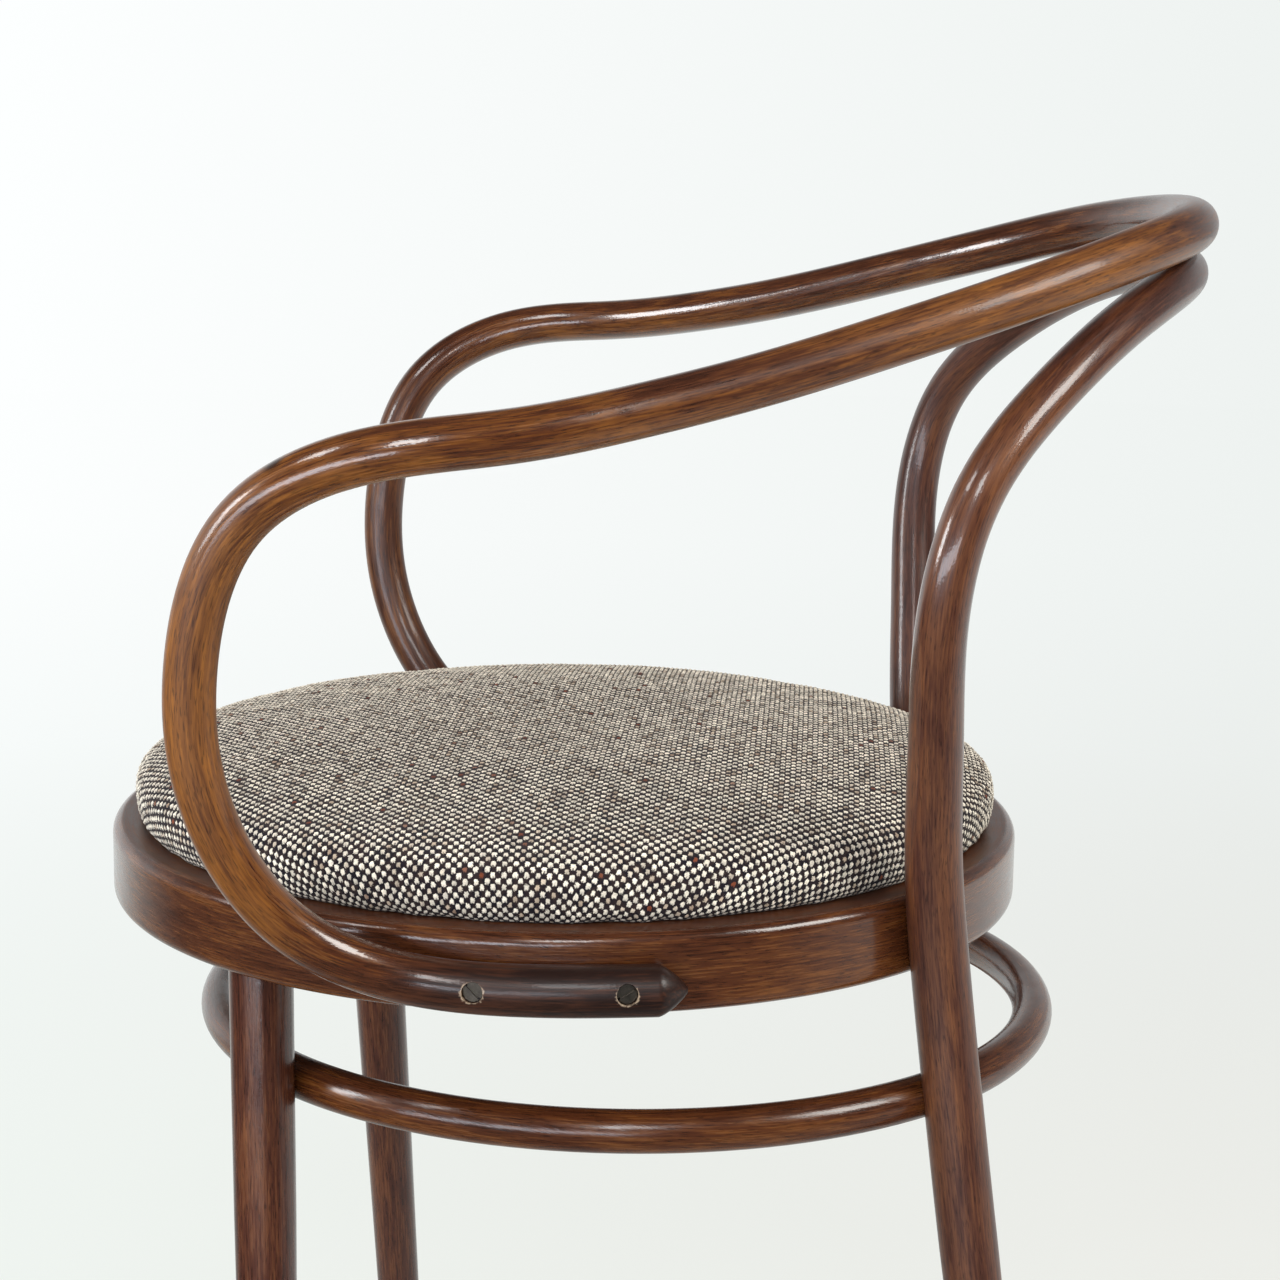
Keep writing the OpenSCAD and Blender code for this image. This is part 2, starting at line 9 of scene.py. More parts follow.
import bmesh
import bpy
import numpy as np
from mathutils import Euler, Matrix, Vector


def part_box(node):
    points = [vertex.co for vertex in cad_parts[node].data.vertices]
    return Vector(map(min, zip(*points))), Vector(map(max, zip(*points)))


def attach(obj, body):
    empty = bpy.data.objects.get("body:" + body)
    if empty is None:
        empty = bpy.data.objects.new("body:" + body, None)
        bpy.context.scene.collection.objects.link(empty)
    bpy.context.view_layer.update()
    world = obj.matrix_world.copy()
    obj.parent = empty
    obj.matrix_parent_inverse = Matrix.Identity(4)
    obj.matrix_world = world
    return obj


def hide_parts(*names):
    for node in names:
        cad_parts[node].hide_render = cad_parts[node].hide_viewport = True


bl_info = {
    "name": "Bent Armchair",
    "version": (1, 0, 0),
    "blender": (4, 5, 0),
    "location": "View3D > Sidebar > Armchair",
    "description": "Builds the visible surfaces of a steam-bent armchair with a round woven pad",
    "category": "Object",
}

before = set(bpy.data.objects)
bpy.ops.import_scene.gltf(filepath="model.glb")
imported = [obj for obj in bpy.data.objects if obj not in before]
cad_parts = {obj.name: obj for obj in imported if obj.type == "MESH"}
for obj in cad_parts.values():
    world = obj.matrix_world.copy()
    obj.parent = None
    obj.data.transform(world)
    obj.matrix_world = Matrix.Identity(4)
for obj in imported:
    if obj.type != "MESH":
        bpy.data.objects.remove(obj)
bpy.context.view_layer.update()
MM = 0.001

# Places that the CAD fixes, read from the frame
RING_LOW, RING_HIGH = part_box("seat_ring")
RING_TOP, RING_BOTTOM = RING_HIGH.z, RING_LOW.z
RING_MID = (RING_TOP + RING_BOTTOM) / 2
RING_RADIUS = (RING_HIGH.x - RING_LOW.x) / 2
RING_AXIS_Y = (RING_HIGH.y + RING_LOW.y) / 2
HOOP_LOW, HOOP_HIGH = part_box("leg_hoop")
HOOP_AXIS_Y = (HOOP_HIGH.y + HOOP_LOW.y) / 2
HOOP_ROD = (HOOP_HIGH.z - HOOP_LOW.z) / 2
HOOP_RADIUS = (HOOP_HIGH.x - HOOP_LOW.x) / 2 - HOOP_ROD
HOOP_Z = (HOOP_HIGH.z + HOOP_LOW.z) / 2
GLIDE_HEIGHT = 3 * MM

# Sides of a hole's cutter, how far it stands out of the piece, and points this close together are joined
CUTTER_SIDES, OPEN, WELD = 48, 8 * MM, 0.005 * MM


def linear(code):
    """Turns an sRGB hex colour to Blender's linear RGBA."""
    parts = [int(code[i : i + 2], 16) / 255 for i in (1, 3, 5)]
    return tuple(c / 12.92 if c <= 0.04045 else ((c + 0.055) / 1.055) ** 2.4 for c in parts) + (1.0,)


# ---------------------------------------------------------------- settings


def number(name, text, value):
    return bpy.props.FloatProperty(name=name, description=text, default=value, min=0)


def colour(name, text, code):
    return bpy.props.FloatVectorProperty(
        name=name, description=text, subtype="COLOR", size=4, min=0, max=1, default=linear(code)
    )


def length(name, text, value):
    return bpy.props.FloatProperty(name=name, description=text, unit="LENGTH", default=value, min=0)


class RodSettings(bpy.types.PropertyGroup):
    """Sizes of the bent rods."""

    arm_radius: length("Arm radius", "Radius of the rod in the arm loops", 10.1 * MM)
    rail_radius: length("Rail radius", "Radius of the rod in the back rail", 10.9 * MM)
    nose_length: length("Nose length", "Length of the taper at each end of the arm rod", 12 * MM)
    leg_radius: length("Leg radius", "Radius of a rear leg at the ring", 12.6 * MM)
    foot_radius: length("Foot radius", "Radius of a rear leg at the floor", 9.5 * MM)
    bow_radius: length("Bow radius", "Radius of the bow under the rail", 10.3 * MM)
    wood_gap: length("Wood gap", "Clearance between two pieces of wood", 0.2 * MM)
    step: length("Step", "Distance between two sections of a rod", 4 * MM)
    sides: bpy.props.IntProperty(name="Sides", description="Sides of a rod's section", default=40, min=12)


class PadSettings(bpy.types.PropertyGroup):
    """Sizes of the pad and its weave."""

    radius: length("Radius", "Largest radius of the pad", 199.5 * MM)
    waist: length("Waist", "Height of the widest place above the ring", 17 * MM)
    crown: length("Crown", "Rise of the crown above the widest place", 22 * MM)
    tuck: length("Tuck", "How far the pad draws in at its underside", 0.5 * MM)
    hem: length("Hem", "Radius of the hole in the cover's hem", 174 * MM)
    cover: length("Cover", "Thickness of the cover", 1.4 * MM)
    warp_pitch: length("Warp pitch", "Distance between two warp yarns", 2.35 * MM)
    weft_pitch: length("Weft pitch", "Distance between two weft yarns", 2.6 * MM)
    nub: length("Nub", "How far a light nub stands up", 0.55 * MM)
    dip: length("Dip", "How far a dark yarn lies back", 0.4 * MM)
    swell: length("Swell", "Furthest that the foam swells in the simulation", 4 * MM)
    pressure: number("Pressure", "Pressure inside the pad", 0.8)
    voxel: length("Voxel", "Cell of the remesh before the simulation", 5 * MM)


class FinishSettings(bpy.types.PropertyGroup):
    """Colours of the finishes."""

    rail_light: colour("Light rail", "Arm rod where the stain is worn thin", "#8e5615")
    rail_mid: colour("Rail", "Arm rod", "#4b2612")
    rail_dark: colour("Dark rail", "Arm rod where the stain gathers", "#200c06")
    leg_light: colour("Light legs", "Legs and bow where the stain is worn thin", "#774724")
    leg_mid: colour("Legs", "Legs and bow", "#48261b")
    leg_dark: colour("Dark legs", "Legs and bow where the stain gathers", "#1b0b06")
    ring_light: colour("Light ring", "Ring and hoop where the stain is worn thin", "#824f1e")
    ring_mid: colour("Ring", "Ring and hoop", "#4a2613")
    ring_dark: colour("Dark ring", "Ring and hoop where the stain gathers", "#1c0905")
    yarn_light: colour("Light yarn", "Cream yarn of the pad", "#f1e9da")
    yarn_tan: colour("Tan yarn", "Tan fibres in the cream yarn", "#bfac97")
    yarn_rust: colour("Rust yarn", "Rust flecks in the yarn", "#80452f")
    yarn_dark: colour("Dark yarn", "Dark yarn of the pad", "#14121c")
    steel: colour("Aged steel", "Screws", "#6a5f55")
    nickel: colour("Nickel", "Glides and staples", "#b4b3ae")
    lining: colour("Lining", "Dust cover", "#17171a")
    foam: colour("Foam", "Foam of the pad", "#e6d9b4")
    ply: colour("Plywood", "Board of the pad", "#c9a877")


class StageSettings(bpy.types.PropertyGroup):
    """Camera, lamps and backdrop."""

    camera_place: bpy.props.FloatVectorProperty(
        name="Camera place", description="Where the camera stands", subtype="TRANSLATION", unit="LENGTH",
        default=(1.35063, 0.07494, 0.80395),
    )
    camera_turn: bpy.props.FloatVectorProperty(
        name="Camera turn", description="Turn of the camera", subtype="EULER", unit="ROTATION",
        default=(radians(78.97477), radians(-0.74572), radians(93.55783)),
    )
    lens: bpy.props.FloatProperty(name="Lens", description="Focal length in millimetres", default=83.397, min=1)
    backdrop: colour("Backdrop", "Paper behind the chair", "#fdffff")
    backdrop_right: colour("Right backdrop", "Paper behind the chair, towards the right", "#eef2f0")
    floor_left: colour("Floor", "Paper under the chair", "#ebf3f0")
    floor_right: colour("Right floor", "Paper under the chair, towards the right", "#e4e6e3")
    brightness: number("Lamps", "Brightness of the lamps against white", 16.5)
    lamp_reach: length("Lamp reach", "Distance of the lamps from the seat", 2.2)
    sky: number("Sky", "Strength of the even light overhead", 1.05)
    horizon: number("Horizon", "Strength of the even light at the horizon", 0.2)


# ---------------------------------------------------------------- meshes


def new_mesh(name, points, faces, smooth=True):
    """Makes an object at the origin from an array of points and lists of faces."""
    mesh = bpy.data.meshes.new(name)
    mesh.from_pydata(np.asarray(points, float).tolist(), [], faces)
    mesh.validate()
    mesh.polygons.foreach_set("use_smooth", np.full(len(mesh.polygons), smooth))
    mesh.update()
    obj = bpy.data.objects.new(name, mesh)
    bpy.context.scene.collection.objects.link(obj)
    return obj


def grid_faces(rows, sides, closed=False):
    """Quads of a grid of rows by sides points that closes on itself sideways, and if closed also from the last row to
    the first. They face outwards for sides counted anticlockwise as seen against the direction of the rows."""
    i, j = np.arange(rows if closed else rows - 1)[:, None], np.arange(sides)[None, :]
    here, after, beside = i * sides, (i + 1) % rows * sides, (j + 1) % sides
    return np.stack([here + j, here + beside, after + beside, after + j], axis=-1).reshape(-1, 4)


def fan_faces(ring, pole, flip):
    """Triangles from a closed row of point numbers to one pole."""
    after, poles = np.roll(ring, -1), np.full(len(ring), pole)
    return np.stack([after, ring, poles] if flip else [ring, after, poles], axis=-1).tolist()


def unit(v):
    return v / np.linalg.norm(v, axis=-1, keepdims=True)


def spline(guides, u):
    """Uniform cubic spline: the point at u is the weighted sum of the four guide points round floor(u). The two end
    guides are reflected, so that the curve starts and ends on them."""
    p = np.asarray(guides, float)
    p = np.vstack([2 * p[0] - p[1], p, 2 * p[-1] - p[-2]])
    k = np.clip(np.floor(u), 0, len(guides) - 2).astype(int)
    t = (u - k)[:, None]
    return (
        (1 - t) ** 3 * p[k]
        + (3 * t**3 - 6 * t * t + 4) * p[k + 1]
        + (-3 * t**3 + 3 * t * t + 3 * t + 1) * p[k + 2]
        + t**3 * p[k + 3]
    ) / 6


def running(line):
    """Length of a line of points up to each of them."""
    return np.concatenate([[0], np.cumsum(np.linalg.norm(np.diff(line, axis=0), axis=1))])


def even_steps(guides, low, high, step, count=6000):
    """Parameters between low and high at which the spline's points lie an even step apart: the running length is summed
    over a fine row of that many parameters and read backwards."""
    fine = np.linspace(low, high, count)
    run = running(spline(guides, fine))
    return np.interp(np.linspace(0, run[-1], int(round(run[-1] / step)) + 1), run, fine)


def frames(path, reference):
    """Direction, side and up of a path's sections: the side is the reference with its part along the path taken off."""
    along = unit(np.gradient(path, axis=0))
    side = unit(reference - (reference * along).sum(1, keepdims=True) * along)
    return along, side, np.cross(along, side)


def rod(name, path, radii, reference, sides, flat_ends=None):
    """A rod: circles of the given radii round each point of the path, in the plane of side and up, joined by quads and
    closed at both ends by a fan. With flat_ends, the end circles slide along the path to that height."""
    along, side, up = frames(path, reference)
    turn = 2 * pi * np.arange(sides) / sides
    grid = path[:, None] + radii[:, None, None] * (
        np.cos(turn)[None, :, None] * side[:, None] + np.sin(turn)[None, :, None] * up[:, None]
    )
    poles = path[[0, -1]].copy()
    if flat_ends is not None:
        for end in (0, -1):
            grid[end] += along[end] * ((flat_ends - grid[end][:, 2]) / along[end][2])[:, None]
            poles[end] += along[end] * (flat_ends - poles[end][2]) / along[end][2]
    rows = len(path)
    points = np.vstack([grid.reshape(-1, 3), poles])
    faces = grid_faces(rows, sides).tolist()
    faces += fan_faces(np.arange(sides), rows * sides, True)
    faces += fan_faces((rows - 1) * sides + np.arange(sides), rows * sides + 1, False)
    return new_mesh(name, points, faces)


def round_cutter(place, direction, radius, reach):
    """A closed round cutter: two circles of one radius, from the place to reach along the direction."""
    axis = unit(np.asarray(direction, float))
    path = np.asarray(place, float) + np.array([0.0, 1.0])[:, None] * axis * reach
    reference = np.array([[0.0, 0.0, 1.0]] * 2) if abs(axis[2]) < 0.7 else np.array([[1.0, 0.0, 0.0]] * 2)
    return rod("hole", path, np.full(2, radius), reference, CUTTER_SIDES)


def ring_tube(name, centre, radius, tube, sides=24, steps=144):
    """A closed ring with a round section: the section's circle carried round the axis."""
    a = 2 * pi * np.arange(steps)[:, None] / steps
    b = 2 * pi * np.arange(sides)[None, :] / sides
    out = radius + tube * np.cos(b)
    points = np.stack([out * np.cos(a), out * np.sin(a), tube * np.sin(b) + 0 * a], axis=-1).reshape(-1, 3) + centre
    return new_mesh(name, points, grid_faces(steps, sides, closed=True)[:, [0, 3, 2, 1]].tolist())


def cut(obj, cutters):
    """Takes closed cutters away from a piece by exact booleans, keeps the result as its mesh and deletes the
    cutters."""
    for c in cutters:
        tool = obj.modifiers.new("cut", "BOOLEAN")
        tool.operation, tool.solver, tool.object = "DIFFERENCE", "EXACT", c
    bake(obj)
    for c in cutters:
        bpy.data.objects.remove(c)


def bake(obj):
    """Applies a piece's modifiers to its mesh."""
    graph = bpy.context.evaluated_depsgraph_get()
    graph.update()
    mesh = bpy.data.meshes.new_from_object(obj.evaluated_get(graph), depsgraph=graph)
    obj.modifiers.clear()
    old, obj.data = obj.data, mesh
    mesh.name = obj.name
    bpy.data.meshes.remove(old)


def read_points(mesh):
    flat = np.empty(len(mesh.vertices) * 3, np.float32)
    mesh.vertices.foreach_get("co", flat)
    return flat.reshape(-1, 3).astype(float)


def write_points(mesh, points):
    mesh.vertices.foreach_set("co", np.ascontiguousarray(points, np.float32).ravel())
    mesh.update()


def straighten(obj, path, reference):
    """Writes the attribute grain, the place of each point in the rod as it was before bending: length along the path,
    and the two distances from it, taken at the nearest point of the path."""
    points = read_points(obj.data)
    along, side, up = frames(path, reference)
    # In parts, so that the table of distances stays small
    parts = np.array_split(points, 1 + len(points) // 2000)
    near = np.concatenate([((some[:, None] - path[None]) ** 2).sum(2).argmin(1) for some in parts])
    off = points - path[near]
    grain = np.stack([(off * axis[near]).sum(1) for axis in (along, side, up)], axis=1)
    grain[:, 0] += running(path)[near]
    layer = obj.data.attributes.new("grain", "FLOAT_VECTOR", "POINT")
    layer.data.foreach_set("vector", grain.astype(np.float32).ravel())


def finish_piece(obj, nodes, material, sharp=None):
    """Gives a new piece its material, body and replaced nodes."""
    obj.data.materials.clear()
    obj.data.materials.append(material)
    if sharp is not None:
        obj.data.set_sharp_from_angle(angle=radians(sharp))
    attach(obj, "root")
    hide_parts(*nodes)


def finish_node(name, material, sharp=35):
    """Gives a CAD node its material, and joins and smooths its triangles with live modifiers."""
    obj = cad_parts[name]
    obj.data.materials.clear()
    obj.data.materials.append(material)
    obj.data.polygons.foreach_set("use_smooth", np.ones(len(obj.data.polygons), bool))
    weld = obj.modifiers.new("Weld", "WELD")
    weld.merge_threshold = WELD
    split = obj.modifiers.new("Edge Split", "EDGE_SPLIT")
    split.split_angle = radians(sharp)


# ---------------------------------------------------------------- materials


def add(tree, kind, *values, out=None, inputs=None, stops=(), **settings):
    """Adds a node and gives its output of that name or number, or else its first output in use. The kind may end with
    an operation. Values go to the inputs in use in their order, and inputs names more: a socket is linked, anything
    else is set. Stops are a ramp's colours."""
    kind, _, operation = kind.partition(" ")
    node = tree.nodes.new("ShaderNode" + kind)
    if operation:
        node.operation = operation
    for key, value in settings.items():
        setattr(node, key, value)
    if stops:
        ramp = node.color_ramp.elements
        while len(ramp) < len(stops):
            ramp.new(0.5)
        for element, (place, shade) in zip(ramp, stops):
            element.position, element.color = place, shade
    pairs = list(zip([socket for socket in node.inputs if socket.enabled], values))
    pairs += [(node.inputs[key], value) for key, value in (inputs or {}).items()]
    for socket, value in pairs:
        if isinstance(value, bpy.types.NodeSocket):
            tree.links.new(value, socket)
        else:
            socket.default_value = value
    if out is not None:
        return node.outputs[out]
    return next((socket for socket in node.outputs if socket.enabled), None)


def new_material(name):
    """An empty material, and the function that adds nodes to it."""
    material = bpy.data.materials.new(name)
    material.use_nodes = True
    material.node_tree.nodes.clear()
    return material, partial(add, material.node_tree)


def grey(value):
    return (value, value, value, 1.0)


def rod_grain(node):
    """Place in the straight rod, written on the piece as the attribute grain."""
    return node("Attribute", attribute_name="grain", out="Vector")


def round_grain(centre_y, radius, seam, slant):
    """Place in a straight bar that was bent round an upright axis: angle times radius, distance from the middle line
    and height. The angle starts at the scarf, which slants with the height."""

    def build(node):
        x, y, z = node("SeparateXYZ", node("TexCoord", out="Object")).node.outputs
        y = node("Math SUBTRACT", y, centre_y)
        lean = node("Math MULTIPLY_ADD", z, slant, -seam)
        turned = node("Math ADD", node("Math ARCTAN2", y, x), lean)
        run = node("Math MULTIPLY", node("Math WRAP", turned, 2 * pi, 0.0), radius)
        far = node("VectorMath LENGTH", node("CombineXYZ", x, y, 0.0))
        return node("CombineXYZ", run, node("Math SUBTRACT", far, radius), z)

    return build


def leg_grain(lean_x, lean_y, offset):
    """Place in a leaning leg, with the height along its grain: the object's place slid sideways by the lean times the
    height."""

    def build(node):
        place = node("TexCoord", out="Object")
        z = node("SeparateXYZ", place, out=2)
        slid = node("VectorMath SCALE", (lean_x, lean_y, 0.0), z)
        x, y, _ = node("SeparateXYZ", node("VectorMath ADD", place, slid)).node.outputs
        return node("CombineXYZ", node("Math ADD", z, offset), x, y)

    return build


def varnished_beech(name, grain, shades, drift, gloss, span=1.0, chips=(), knot=None, dull_top=False):
    """Steam-bent beech, rubbed with walnut stain and varnished: mottles of stain 60 x 15 mm, streaks 38 x 4 mm, fibres
    16 x 0.8 mm and dark pores 4.5 x 0.5 mm. Drift lists how much lighter than one half the wood is drawn at shares of
    the span along the grain, and gloss how much of the varnish's shine is left there. What faces up is drawn a little
    darker, a painted shade. The varnish is slightly wavy, with a fine peel."""
    material, node = new_material(name)
    light, middle, dark = shades
    place = grain(node)

    def layer(long, across, detail, roughness=0.5, distortion=0.0):
        """Noise with spots of the given length and width in millimetres."""
        stretched = node("VectorMath MULTIPLY", place, (1000 / long, 1000 / across, 1000 / across))
        return node("TexNoise", stretched, 1.0, detail, roughness, inputs={"Distortion": distortion})

    fibre = layer(16, 0.8, 2.0)
    upwards = node("SeparateXYZ", node("NewGeometry", out="Normal"), out=2)
    share = node("Math DIVIDE", node("SeparateXYZ", place), span)
    tone = node("ValToRGB", share, stops=[(at, grey(0.5 + more)) for at, more in drift])
    # How much each pattern counts in the stain, and how much darker what faces up is drawn: a painted shade
    for pattern, weight in (
        (layer(60, 15, 3.0, 0.6, 0.6), 0.65), (layer(38, 4, 2.0), 0.45), (fibre, 0.85), (upwards, -0.08),
    ):
        tone = node("Math MULTIPLY_ADD", pattern, weight, tone)
    tone = node("MapRange", tone, 0.97, 1.97)
    # The tone here also holds the painted shade on upward faces
    stain = node("ValToRGB", tone, stops=[(0.0, dark), (0.4, middle), (0.95, light)])
    pores = node("ValToRGB", layer(4.5, 0.5, 0.0), stops=[(0.62, grey(1.0)), (0.72, grey(0.45))])
    seen = node("Mix", 0.8, stain, pores, data_type="RGBA", blend_type="MULTIPLY")
    if knot:
        *centre, radius = knot
        near = node("MapRange", node("VectorMath DISTANCE", place, centre), 0.4 * radius, radius, 0.9, 0.0)
        seen = node("Mix", near, seen, dark, data_type="RGBA")
    if chips:
        # Varnish chipped off round the screw heads, on both sides of the chair
        x, y, z = node("SeparateXYZ", node("TexCoord", out="Object")).node.outputs
        spot = node("CombineXYZ", node("Math ABSOLUTE", x), y, z)
        far = node("Math MINIMUM", *(node("VectorMath DISTANCE", spot, tuple(chip)) for chip in chips))
        ragged = node("Math MULTIPLY_ADD", layer(1.2, 1.2, 1.0), -2.2 * MM, far)
        # In units of 10 mm from the middle of the head
        bare = node(
            "ValToRGB", node("Math MULTIPLY", ragged, 100.0),
            stops=[(0.30, grey(0.75)), (0.36, grey(0.6)), (0.42, grey(0.0))],
        )
        seen = node("Mix", bare, seen, linear("#b9a38a"), data_type="RGBA")
    height = node("Math MULTIPLY", layer(18, 11, 1.0), 0.16)
    for pattern in (fibre, layer(1.3, 1.0, 1.0)):
        height = node("Math MULTIPLY_ADD", pattern, 0.035, height)
    bump = node("Bump", inputs={"Height": height, "Strength": 1.0, "Distance": 1 * MM})
    rough = node("MapRange", tone, 0.2, 0.85, 0.2, 0.34)
    if dull_top:
        # The pad has rubbed the flat top dull
        dull = node("MapRange", upwards, 0.93, 0.995)
        rough = node("Math MULTIPLY_ADD", dull, 0.1, rough)
        gloss = node("MapRange", dull, 0.0, 1.0, gloss, 0.0)
    elif not isinstance(gloss, float):
        gloss = node("ValToRGB", share, stops=[(at, grey(left)) for at, left in gloss])
        rough = node("Math ADD", rough, node("Math MULTIPLY_ADD", gloss, -0.26, 0.24))
    sockets = {
        "Base Color": seen, "IOR": 1.5, "Roughness": rough, "Coat Weight": gloss, "Coat Roughness": 0.08,
        "Normal": bump, "Coat Normal": bump,
    }
    node("OutputMaterial", node("BsdfPrincipled", inputs=sockets))
    return material


def tweed(name, finish):
    """Basket-woven wool tweed, cream floats over near-black navy. The cells u, v of the weave are turned by 45 degrees,
    so that each light float is one cell of the turned grid: a = (u + v) / 2 and b = (u - v) / 2. A float is a rounded
    square about as wide as its cell, with its own size, shift and shade; hairs blur it, and a few are rust."""
    material, node = new_material(name)
    uv = node("UVMap", uv_map="weave")
    hairs = node("TexNoise", uv, 1.7, 4.0, 0.8)
    shift = node("VectorMath SUBTRACT", hairs.node.outputs["Color"], (0.5, 0.5, 0.5))
    u, v, _ = node("SeparateXYZ", node("VectorMath ADD", uv, node("VectorMath SCALE", shift, 1.15))).node.outputs
    a = node("Math MULTIPLY", node("Math ADD", u, v), 0.5)
    b = node("Math MULTIPLY", node("Math SUBTRACT", u, v), 0.5)
    floor_a, floor_b = node("Math FLOOR", a), node("Math FLOOR", node("Math ADD", b, 0.5))
    off_a, off_b = node("Math SUBTRACT", node("Math SUBTRACT", a, floor_a), 0.5), node("Math SUBTRACT", b, floor_b)
    side = node("Math ABSOLUTE", node("Math ADD", off_a, off_b))
    down = node("Math SUBTRACT", off_b, off_a)
    across, along = node("Math MULTIPLY", side, 1.1), node("Math MULTIPLY", node("Math ABSOLUTE", down), 0.9)
    # The third powers make the float a rounded square
    cubes = node("Math ADD", node("Math POWER", across, 3.0), node("Math POWER", along, 3.0))
    dice = node("TexWhiteNoise", node("CombineXYZ", floor_a, floor_b, 0.0), noise_dimensions="3D")
    dice_fleck, dice_slub, dice_deep = node("SeparateXYZ", dice.node.outputs["Color"]).node.outputs
    edge = node("Math SUBTRACT", node("MapRange", dice, 0.0, 1.0, 0.41, 0.51), node("Math POWER", cubes, 1 / 3))
    pale = node("MapRange", edge, -0.05, 0.05, interpolation_type="SMOOTHSTEP")
    # The two strands of a float part at its lower end in a dark wedge
    wedge = node("Math SUBTRACT", node("Math MULTIPLY", down, 0.5), node("Math ADD", side, 0.1))
    pale = node("Math MULTIPLY", pale, node("MapRange", wedge, -0.03, 0.04, 1.0, 0.15))
    rust, tan, light = finish.yarn_rust[:], finish.yarn_tan[:], finish.yarn_light[:]
    cream = node("ValToRGB", dice_fleck, stops=[(0.0, rust), (0.006, rust), (0.010, tan), (0.25, light), (1.0, light)])
    fuzz, slub = node("MapRange", hairs, 0.3, 0.7, 0.58, 1.2), node("MapRange", dice_slub, 0.0, 1.0, 0.74, 1.15)
    # Hairs and slubs change each float's tone, and its lower end is drawn darker: a painted shade
    tone_and_shade = node("Math MULTIPLY", node("Math MULTIPLY", fuzz, slub), node("Math MULTIPLY_ADD", down, -0.3, 1.0))
    lit = node("VectorMath SCALE", cream, tone_and_shade)
    brown = node("Math MULTIPLY", dice_deep, 0.6)
    deep = node("Mix", brown, finish.yarn_dark[:], linear("#3a2c28"), data_type="RGBA")
    seen = node("Mix", pale, deep, lit, data_type="RGBA")
    height = node("Math MULTIPLY_ADD", hairs, 0.6, pale)
    bump = node("Bump", inputs={"Height": height, "Strength": 0.7, "Distance": 0.5 * MM})
    sockets = {"Base Color": seen, "Roughness": 0.95, "Specular IOR Level": 0.15, "Sheen Weight": 0.08, "Normal": bump}
    node("OutputMaterial", node("BsdfPrincipled", inputs=sockets))
    return material


def mottled(name, shade, amount, clouds_per_metre, bump_mm, **sockets):
    """A plain finish with clouds and a grain 12 times finer: both noises change the colour by the amount, and the finer
    one roughens the surface."""
    material, node = new_material(name)
    place = node("TexCoord", out="Object")
    clouds = node("TexNoise", place, clouds_per_metre, 3.0)
    fine = node("TexNoise", place, clouds_per_metre * 12, 2.0)
    level = node("MapRange", node("Math ADD", clouds, fine), 0.6, 1.4, 1 - amount, 1 + amount)
    tint = node("VectorMath SCALE", shade[:3], level)
    bump = node("Bump", inputs={"Height": fine, "Strength": 0.5, "Distance": bump_mm * MM})
    node("OutputMaterial", node("BsdfPrincipled", inputs={"Base Color": tint, "Normal": bump, **sockets}))
    return material


# ---------------------------------------------------------------- routes of the rods, as in the part's source

ARM_HALF, LOOP_REACH, RAIL_REACH, RAIL_RISE = 276 * MM, 125 * MM, 281 * MM, 300 * MM
ARM_FOOT_LIFT, ARM_FOOT_OUT, ARM_END_TURN = 13 * MM, 8 * MM, 18
ARM_FOOT_Z = RING_BOTTOM + ARM_FOOT_LIFT
RAIL_TOP = ARM_FOOT_Z + RAIL_RISE
ARM_FOOT_SHARES = (1, 0.16, -0.7)
ARM_SHARES = (
    (0.845, -0.76, 0.085), (0.900, -0.99, 0.270), (0.930, -1.00, 0.465), (0.945, -0.87, 0.660), (1.000, -0.45, 0.750),
    (0.940, 0.000, 0.758), (0.830, 0.165, 0.785), (0.740, 0.335, 0.820), (0.650, 0.510, 0.868), (0.550, 0.695, 0.920),
    (0.410, 0.860, 0.970), (0.220, 0.970, 0.995), (0.000, 1.000, 1.000),
)
REAR_TURN, REAR_SEAT, REAR_SPLAY_SIDE, REAR_SPLAY_BACK = 50.5, 10.5 * MM, 27 * MM, 73 * MM
BOW_HALF, BOW_SET = 182 * MM, 3 * MM
REAR_SHARES = (
    (1.00, 1.000, 0.000), (1.00, 0.810, 0.135), (0.92, 0.645, 0.270), (0.77, 0.505, 0.405), (0.58, 0.370, 0.540),
    (0.38, 0.245, 0.680), (0.19, 0.135, 0.815), (0.00, 0.030, 0.950),
)
BOW_SHARES = (
    (0.15, -0.04, 0.120), (0.60, -0.04, 0.306), (1.00, -0.06, 0.492), (1.00, 0.05, 0.672), (0.30, 0.32, 0.783),
    (-0.70, 0.62, 0.875),
)
ARM_SCREW_TURNS, ARM_SCREW_LIFT = (-4.5, 11.25), 1.5 * MM
SCREW_HOLE, ARM_SCREW_HOLE = 4.0 * MM, 4.35 * MM
RING_WIDE, RING_SOFT = 40 * MM, 5.5 * MM
RING_INNER = RING_RADIUS - RING_WIDE
FRONT_TURN, FRONT_LEAN = -38, (60 / 425, 14 / 425)
REAR_HEAD_TURN, REAR_SCREW_PITCH = 49.864, 14 * MM
PAD_SCREW_TURNS = (28, 152, 205, 335)
FRAME_HOLE, TENON_HOLE = 3.9 * MM, 9.1 * MM
BOW_SCREW_PITCH = 40 * MM
# Depths of the counterbores: arm screws, bow screws, the ring's inner face and the pad screws from below
ARM_BORE, BOW_BORE, RING_BORE, PAD_BORE = 6 * MM, 2 * MM, 4.6 * MM, 14.6 * MM
# Depth of a tenon's hole, and how far inside the ring's inner face the pad screws stand
TENON_DEEP, PAD_SCREW_IN = 26 * MM, 10 * MM
